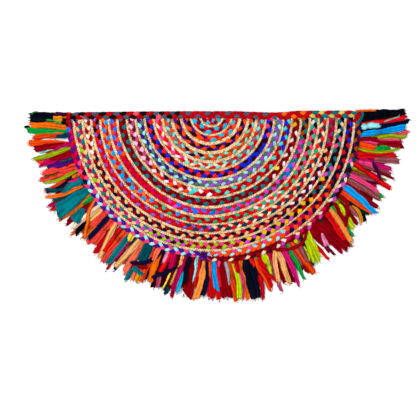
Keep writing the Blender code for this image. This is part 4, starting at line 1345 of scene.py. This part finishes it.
# The knot's turns of yarn: how far each is turned round and tilted, in degrees, and how far it is moved
# aside as a share of the knot's half size
KNOT_TURNS = (
    {"round": 10, "tilt": 62, "aside": 0.0, "dye": "purple"},
    {"round": 55, "tilt": 28, "aside": 0.1, "dye": "plum"},
    {"round": 95, "tilt": 50, "aside": -0.3, "dye": "indigo"},
    {"round": 140, "tilt": 20, "aside": 0.0, "dye": "purple"},
    {"round": 170, "tilt": 70, "aside": 0.3, "dye": "violet"},
    {"round": 215, "tilt": 38, "aside": -0.1, "dye": "purple"},
    {"round": 300, "tilt": 55, "aside": 0.25, "dye": "indigo"},
    {"round": 250, "tilt": 12, "aside": -0.2, "dye": "plum"},
)

# The knot's size as a share of KNOT_HALF, and how high its middle lies as a share of its half height
KNOT_SPREAD = np.array((0.98, 0.98, 1.0))
KNOT_LIFT = 0.8

# Its core: its size as a share of the knot's, the heights of its lumps, its painted shade as a share of its
# dye, dark as the shade between the turns, its rows and columns, and the angle from the pole, in radians,
# of its first row
KNOT_CORE = 0.84
CORE_LUMPS = (0.07, 0.05)
CORE_PAINTED_SHADE = 0.25
CORE_GRID = (14, 20)
CORE_POLE = 0.05

# A turn: half its yarn's thickness, how deep it sinks in as a share of that, its points, and a tiny rise
# from each to the next, so that its two ends don't meet in the same points
KNOT_YARN = 0.0021
YARN_SINK = 0.8
TURN_POINTS = 40
TURN_RISE = 1e-7

# Its loose ends: half their thickness, and millimetres right of and behind the knot's middle for three
# points along; their height as a share of its half height, how high they arch, and the points along one
KNOT_ENDS = (
    {"dye": "pale_aqua", "yarn": 0.0011, "way": ((9, 3), (15, 2), (21, -1))},
    {"dye": "purple", "yarn": 0.0014, "way": ((-8, 2), (-16, 4), (-21, 2))},
    {"dye": "pink", "yarn": 0.0012, "way": ((8, -5), (14, -8), (17, -12))},
)
END_HIGH = 1.3
END_ARCH = 0.001
END_POINTS = 12

# A yarn's columns round, how uneven its thickness is and over what length, how bright the painted shade
# on its underside is and the heights between which it grows brighter, and the least and the most
# brightness of a yarn, drawn at random
YARN_SIDES = 8
YARN_UNEVEN = 0.25
YARN_EVERY = 0.006
YARN_SHADE = 0.45
YARN_FADE = (-0.6, 0.7)
YARN_TONES = (0.8, 1.1)


def yarn_tube(path, thick, dye, random):
    """A round yarn along a path, whose thickness wanders, and whose underside is darkened by painted shade.
    """
    right, above = directions(path)
    along = length_along(path)
    section = angles_round(YARN_SIDES)
    out = right[:, None] * np.cos(section)[None, :, None]
    out = out + above[:, None] * np.sin(section)[None, :, None]
    thick = thick * (1 + YARN_UNEVEN * wander(along, YARN_EVERY, random))
    grid = path[:, None] + thick[:, None, None] * out
    grid[:, :, 2] = np.maximum(grid[:, :, 2], 0.0)
    # Painted shade: darker on the underside of the yarn
    shade = YARN_SHADE + (1 - YARN_SHADE) * smooth_step(np.sin(section), *YARN_FADE)
    shade = shade * random.uniform(*YARN_TONES)
    shade = np.broadcast_to(shade[None, :, None], (len(path), YARN_SIDES, 1))
    return closed_tube(grid, linear(dye) * shade, along)


def knot(material, random):
    """The purple knot: a lumpy core painted dark as the shade between the turns, turns of yarn round it,
    and three loose ends. Each turn is a circle on a ball, tilted and moved aside, and the ball is
    stretched to the knot's size, less most of half the yarn's thickness."""
    inner = jute_band(WHOLE_ROWS, KNOT_AT)[1]
    rim = rim_radius(np.array(KNOT_AT))
    middle = np.append(place(180.0 * KNOT_AT, (inner + rim) / 2), KNOT_HALF[2] * KNOT_LIFT)
    half = KNOT_HALF * KNOT_SPREAD
    down = np.linspace(CORE_POLE, np.pi - CORE_POLE, CORE_GRID[0])[:, None]
    around = np.linspace(0.0, 2 * np.pi, CORE_GRID[1], endpoint=False)[None, :]
    unit = np.stack((
        np.sin(down) * np.cos(around), np.sin(down) * np.sin(around), np.cos(down) + 0 * around,
    ), axis=-1)
    lumps = 1 + CORE_LUMPS[0] * np.cos(3 * around + 2 * down) + CORE_LUMPS[1] * np.cos(5 * around - 3 * down)
    core = middle + unit * lumps[:, :, None] * half * KNOT_CORE
    core[:, :, 2] = np.maximum(core[:, :, 2], 0.0)
    core = core[::-1]
    # Painted shade: the core is darkened to stand for the shade between the turns
    core_painted_shade = np.broadcast_to(linear("purple") * CORE_PAINTED_SHADE, core.shape)
    patches = [closed_tube(core, core_painted_shade, length_along(core[:, 0]))]
    for loop in KNOT_TURNS:
        spin, tilt = math.radians(loop["round"]), math.radians(loop["tilt"])
        first = np.array((math.cos(spin), math.sin(spin), 0.0))
        second = np.array((
            -math.sin(spin) * math.sin(tilt), math.cos(spin) * math.sin(tilt), math.cos(tilt),
        ))
        aside = np.cross(first, second) * loop["aside"]
        angle = np.linspace(0.0, 2 * np.pi, TURN_POINTS)[:, None]
        ring = (first * np.cos(angle) + second * np.sin(angle)) * math.sqrt(1 - loop["aside"] ** 2)
        path = middle + (ring + aside) * (half - KNOT_YARN * YARN_SINK)
        path[:, 2] = np.maximum(path[:, 2], KNOT_YARN) + TURN_RISE * np.arange(TURN_POINTS)
        patches.append(yarn_tube(path, KNOT_YARN, loop["dye"], random))
    for end in KNOT_ENDS:
        flat = curved_way(np.array(end["way"]) * MM, 2, END_POINTS)[:, :2]
        arch = np.sin(np.pi * np.linspace(0.0, 1.0, END_POINTS))
        path = np.column_stack((middle[:2] + flat, KNOT_HALF[2] * END_HIGH + END_ARCH * arch))
        patches.append(yarn_tube(path, end["yarn"], end["dye"], random))
    settle(new_piece("knot_turns", patches, material), "knot_yarn", "knot")


# How strong each finer layer of noise is beside the one before
NOISE_ROUGH = 0.6


class Link:
    """A socket of a material. Python's operators on it add Math nodes."""

    def __init__(self, looks, socket):
        self.looks = looks
        self.socket = socket

    def math(self, operation, first, second=0.0):
        return self.looks.node("ShaderNodeMath", {"operation": operation}, {0: first, 1: second})

    def __add__(self, other):
        return self.math("ADD", self, other)

    def __radd__(self, other):
        return self.math("ADD", other, self)

    def __sub__(self, other):
        return self.math("SUBTRACT", self, other)

    def __rsub__(self, other):
        return self.math("SUBTRACT", other, self)

    def __mul__(self, other):
        return self.math("MULTIPLY", self, other)

    def __rmul__(self, other):
        return self.math("MULTIPLY", other, self)

    def sine(self):
        return self.math("SINE", self)


class Looks:
    """The nodes of one material, round its Principled shader."""

    def __init__(self, name):
        self.material = bpy.data.materials.new(name)
        self.material.use_nodes = True
        self.tree = self.material.node_tree
        self.shader = self.tree.nodes["Principled BSDF"]

    def node(self, kind, settings=None, inputs=None, output=0):
        """Any node: its settings first, then the values or links of its sockets."""
        made = self.tree.nodes.new(kind)
        for key, value in (settings or {}).items():
            setattr(made, key, value)
        self.join(made, inputs or {})
        return Link(self, made.outputs[output])

    def join(self, node, inputs):
        for key, value in inputs.items():
            if isinstance(value, Link):
                self.tree.links.new(value.socket, node.inputs[key])
            else:
                node.inputs[key].default_value = value

    def noise(self, where, scale, detail=2.0):
        """Soft noise about 0.5, with so many patches in a metre."""
        return self.node(
            "ShaderNodeTexNoise", {"noise_dimensions": "3D"},
            {"Vector": where, "Scale": scale, "Detail": detail, "Roughness": NOISE_ROUGH},
        )

    def times(self, colour, strength):
        """A colour made brighter or darker."""
        return self.node("ShaderNodeVectorMath", {"operation": "SCALE"}, {0: colour, "Scale": strength})


# Patches of noise in a metre: broad changes of tone, fine threads, and streaks along and across a strip
CLOTH_PATCHES = 90.0
CLOTH_FINE = 700.0
CLOTH_STREAKS = (35.0, 420.0, 1.0)
JUTE_PATCHES = 130.0
JUTE_DOTS = 380.0
JUTE_STREAKS = (250.0, 2600.0, 1.0)

# What each pattern adds to the dye's brightness, and to the roughness; and how deep the bumps are
CLOTH_TONE = {"even": 0.72, "patches": 0.34, "fine": 0.22, "woven": 0.06}
CLOTH_ROUGH = {"even": 0.82, "fine": 0.16}
CLOTH_BUMP = {"Strength": 0.7, "Distance": 0.0006}
JUTE_TONE = {"even": 0.02, "streaks": 0.35, "patches": 0.25, "dots": 1.38}
JUTE_ROUGH = {"even": 0.75, "streaks": 0.2}
JUTE_BUMP = {"Strength": 0.8, "Distance": 0.0005}


def cloth(name, thread, weave, crumple, streak):
    """Dyed cloth or yarn: the dye, with the painted shade and light that the mesh carries in it, with
    patches and streaks of its own, a weave and small crumples. The weave is the product of two sines, of the
    distance along and of the distance round."""
    looks = Looks(name)
    # The mesh's dye attribute, which holds painted shade and light as well as the dye
    dye = looks.node("ShaderNodeAttribute", {"attribute_name": "dye"})
    here = looks.node("ShaderNodeTexCoord", output="Object")
    flat = looks.node("ShaderNodeUVMap", {"uv_map": "cloth"})
    parts = looks.node("ShaderNodeSeparateXYZ", inputs={0: flat})
    around = Link(looks, parts.socket.node.outputs[1])
    step = 2 * math.pi / thread
    woven = (parts * step).sine() * (around * step).sine()
    patches = looks.noise(here, CLOTH_PATCHES)
    fine = looks.noise(here, CLOTH_FINE, 3.0)
    drawn = looks.node("ShaderNodeMapping", None, {"Vector": flat, "Scale": CLOTH_STREAKS})
    streaks = looks.noise(drawn, 1.0, 3.0)
    strength = CLOTH_TONE["even"] - 0.5 * streak + CLOTH_TONE["patches"] * patches
    strength = strength + CLOTH_TONE["fine"] * fine + streak * streaks + CLOTH_TONE["woven"] * woven
    looks.join(looks.shader, {
        "Base Color": looks.times(dye, strength),
        "Roughness": CLOTH_ROUGH["even"] + CLOTH_ROUGH["fine"] * fine,
        "Normal": looks.node("ShaderNodeBump", None, {
            **CLOTH_BUMP, "Height": weave * woven + crumple * fine + crumple * patches,
        }),
        "Specular IOR Level": 0.02,
    })
    return looks.material


def jute_fibre(name):
    """Jute: the fibre's colour, with the painted shade that the mesh carries in it, streaked along each
    strand, and a hairy surface.
    """
    looks = Looks(name)
    # The mesh's dye attribute, which holds painted shade as well as the fibre's colour
    dye = looks.node("ShaderNodeAttribute", {"attribute_name": "dye"})
    flat = looks.node("ShaderNodeUVMap", {"uv_map": "cloth"})
    drawn = looks.node("ShaderNodeMapping", None, {"Vector": flat, "Scale": JUTE_STREAKS})
    streaks = looks.noise(drawn, 1.0, 3.0)
    here = looks.node("ShaderNodeTexCoord", output="Object")
    patches = looks.noise(here, JUTE_PATCHES)
    dots = looks.noise(here, JUTE_DOTS)
    strength = JUTE_TONE["even"] + JUTE_TONE["streaks"] * streaks
    strength = strength + JUTE_TONE["patches"] * patches + JUTE_TONE["dots"] * dots
    looks.join(looks.shader, {
        "Base Color": looks.times(dye, strength),
        "Roughness": JUTE_ROUGH["even"] + JUTE_ROUGH["streaks"] * streaks,
        "Normal": looks.node("ShaderNodeBump", None, {**JUTE_BUMP, "Height": streaks}),
        "Specular IOR Level": 0.03,
    })
    return looks.material


# The floor: its size in metres, its tone, how much darker its patches are, and how many are in a metre
FLOOR_SIZE = 8.0
FLOOR_TONE = 0.95
FLOOR_UNEVEN = 0.01
FLOOR_PATCHES = 6.0


def floor():
    """A plain pale floor."""
    bpy.ops.mesh.primitive_plane_add(size=FLOOR_SIZE, location=(0.0, 0.0, 0.0))
    ground = bpy.context.object
    ground.name = "floor"
    looks = Looks("pale_floor")
    here = looks.node("ShaderNodeTexCoord", output="Object")
    tone = FLOOR_TONE - FLOOR_UNEVEN * looks.noise(here, FLOOR_PATCHES)
    looks.join(looks.shader, {"Base Color": tone, "Roughness": 0.9, "Specular IOR Level": 0.1})
    ground.data.materials.append(looks.material)


# The lamps: where they are and their size, in metres, and their power in watts; and the sky's light
LAMPS = (
    {"name": "key", "at": (-1.3, 1.1, 2.4), "size": 1.6, "power": 66.0},
    {"name": "fill", "at": (1.8, -0.6, 2.0), "size": 2.2, "power": 16.0},
)
WORLD_LIGHT = 0.55


def lights():
    """Soft studio light: a large lamp from the upper left, a weak one from the right, and a pale sky."""
    for lamp in LAMPS:
        data = bpy.data.lights.new(lamp["name"], "AREA")
        data.size = lamp["size"]
        data.energy = lamp["power"]
        holder = bpy.data.objects.new(lamp["name"], data)
        holder.location = lamp["at"]
        aim = np.array((*CENTRE, 0.0)) - np.array(lamp["at"])
        away = math.atan2(math.hypot(aim[0], aim[1]), -aim[2])
        holder.rotation_euler = (away, 0.0, math.atan2(aim[1], aim[0]) - math.pi / 2)
        bpy.context.scene.collection.objects.link(holder)
    world = bpy.data.worlds.new("studio")
    world.use_nodes = True
    sky = world.node_tree.nodes["Background"]
    sky.inputs["Color"].default_value = (1.0, 1.0, 1.0, 1.0)
    sky.inputs["Strength"].default_value = WORLD_LIGHT
    bpy.context.scene.world = world


# The camera: its lens and sensor in millimetres, the width of floor in the picture, and the middle of
# the picture from that of the rings
LENS = 100.0
SENSOR = 36.0
PICTURE_WIDTH = 1.0026
PICTURE_FROM_RINGS = (-0.0035, -0.2280)


def camera():
    """The camera, straight above the mat."""
    data = bpy.data.cameras.new("camera")
    data.lens = LENS
    data.sensor_width = SENSOR
    above = bpy.data.objects.new("camera", data)
    above.location = (*(CENTRE + PICTURE_FROM_RINGS), PICTURE_WIDTH * LENS / SENSOR)
    bpy.context.scene.collection.objects.link(above)
    bpy.context.scene.camera = above


def build():
    """The whole scene."""
    camera()
    floor()
    lights()
    bpy.context.scene.view_settings.view_transform = "Standard"
    rag = cloth("cotton_rag_cloth", thread=0.0011, weave=0.25, crumple=0.8, streak=0.2)
    strips = cloth("fringe_rag_cloth", thread=0.0009, weave=0.20, crumple=1.0, streak=0.8)
    yarn = cloth("knot_yarn_cloth", thread=0.0007, weave=0.60, crumple=1.0, streak=0.6)
    random = np.random.default_rng(CLOTH_SEED)
    cotton_rows(rag, random)
    jute_rows(jute_fibre("jute_fibre"), random)
    edge_braid(rag, random)
    knot(yarn, random)
    fringe(strips, np.random.default_rng(UNDER_SEED))


build()
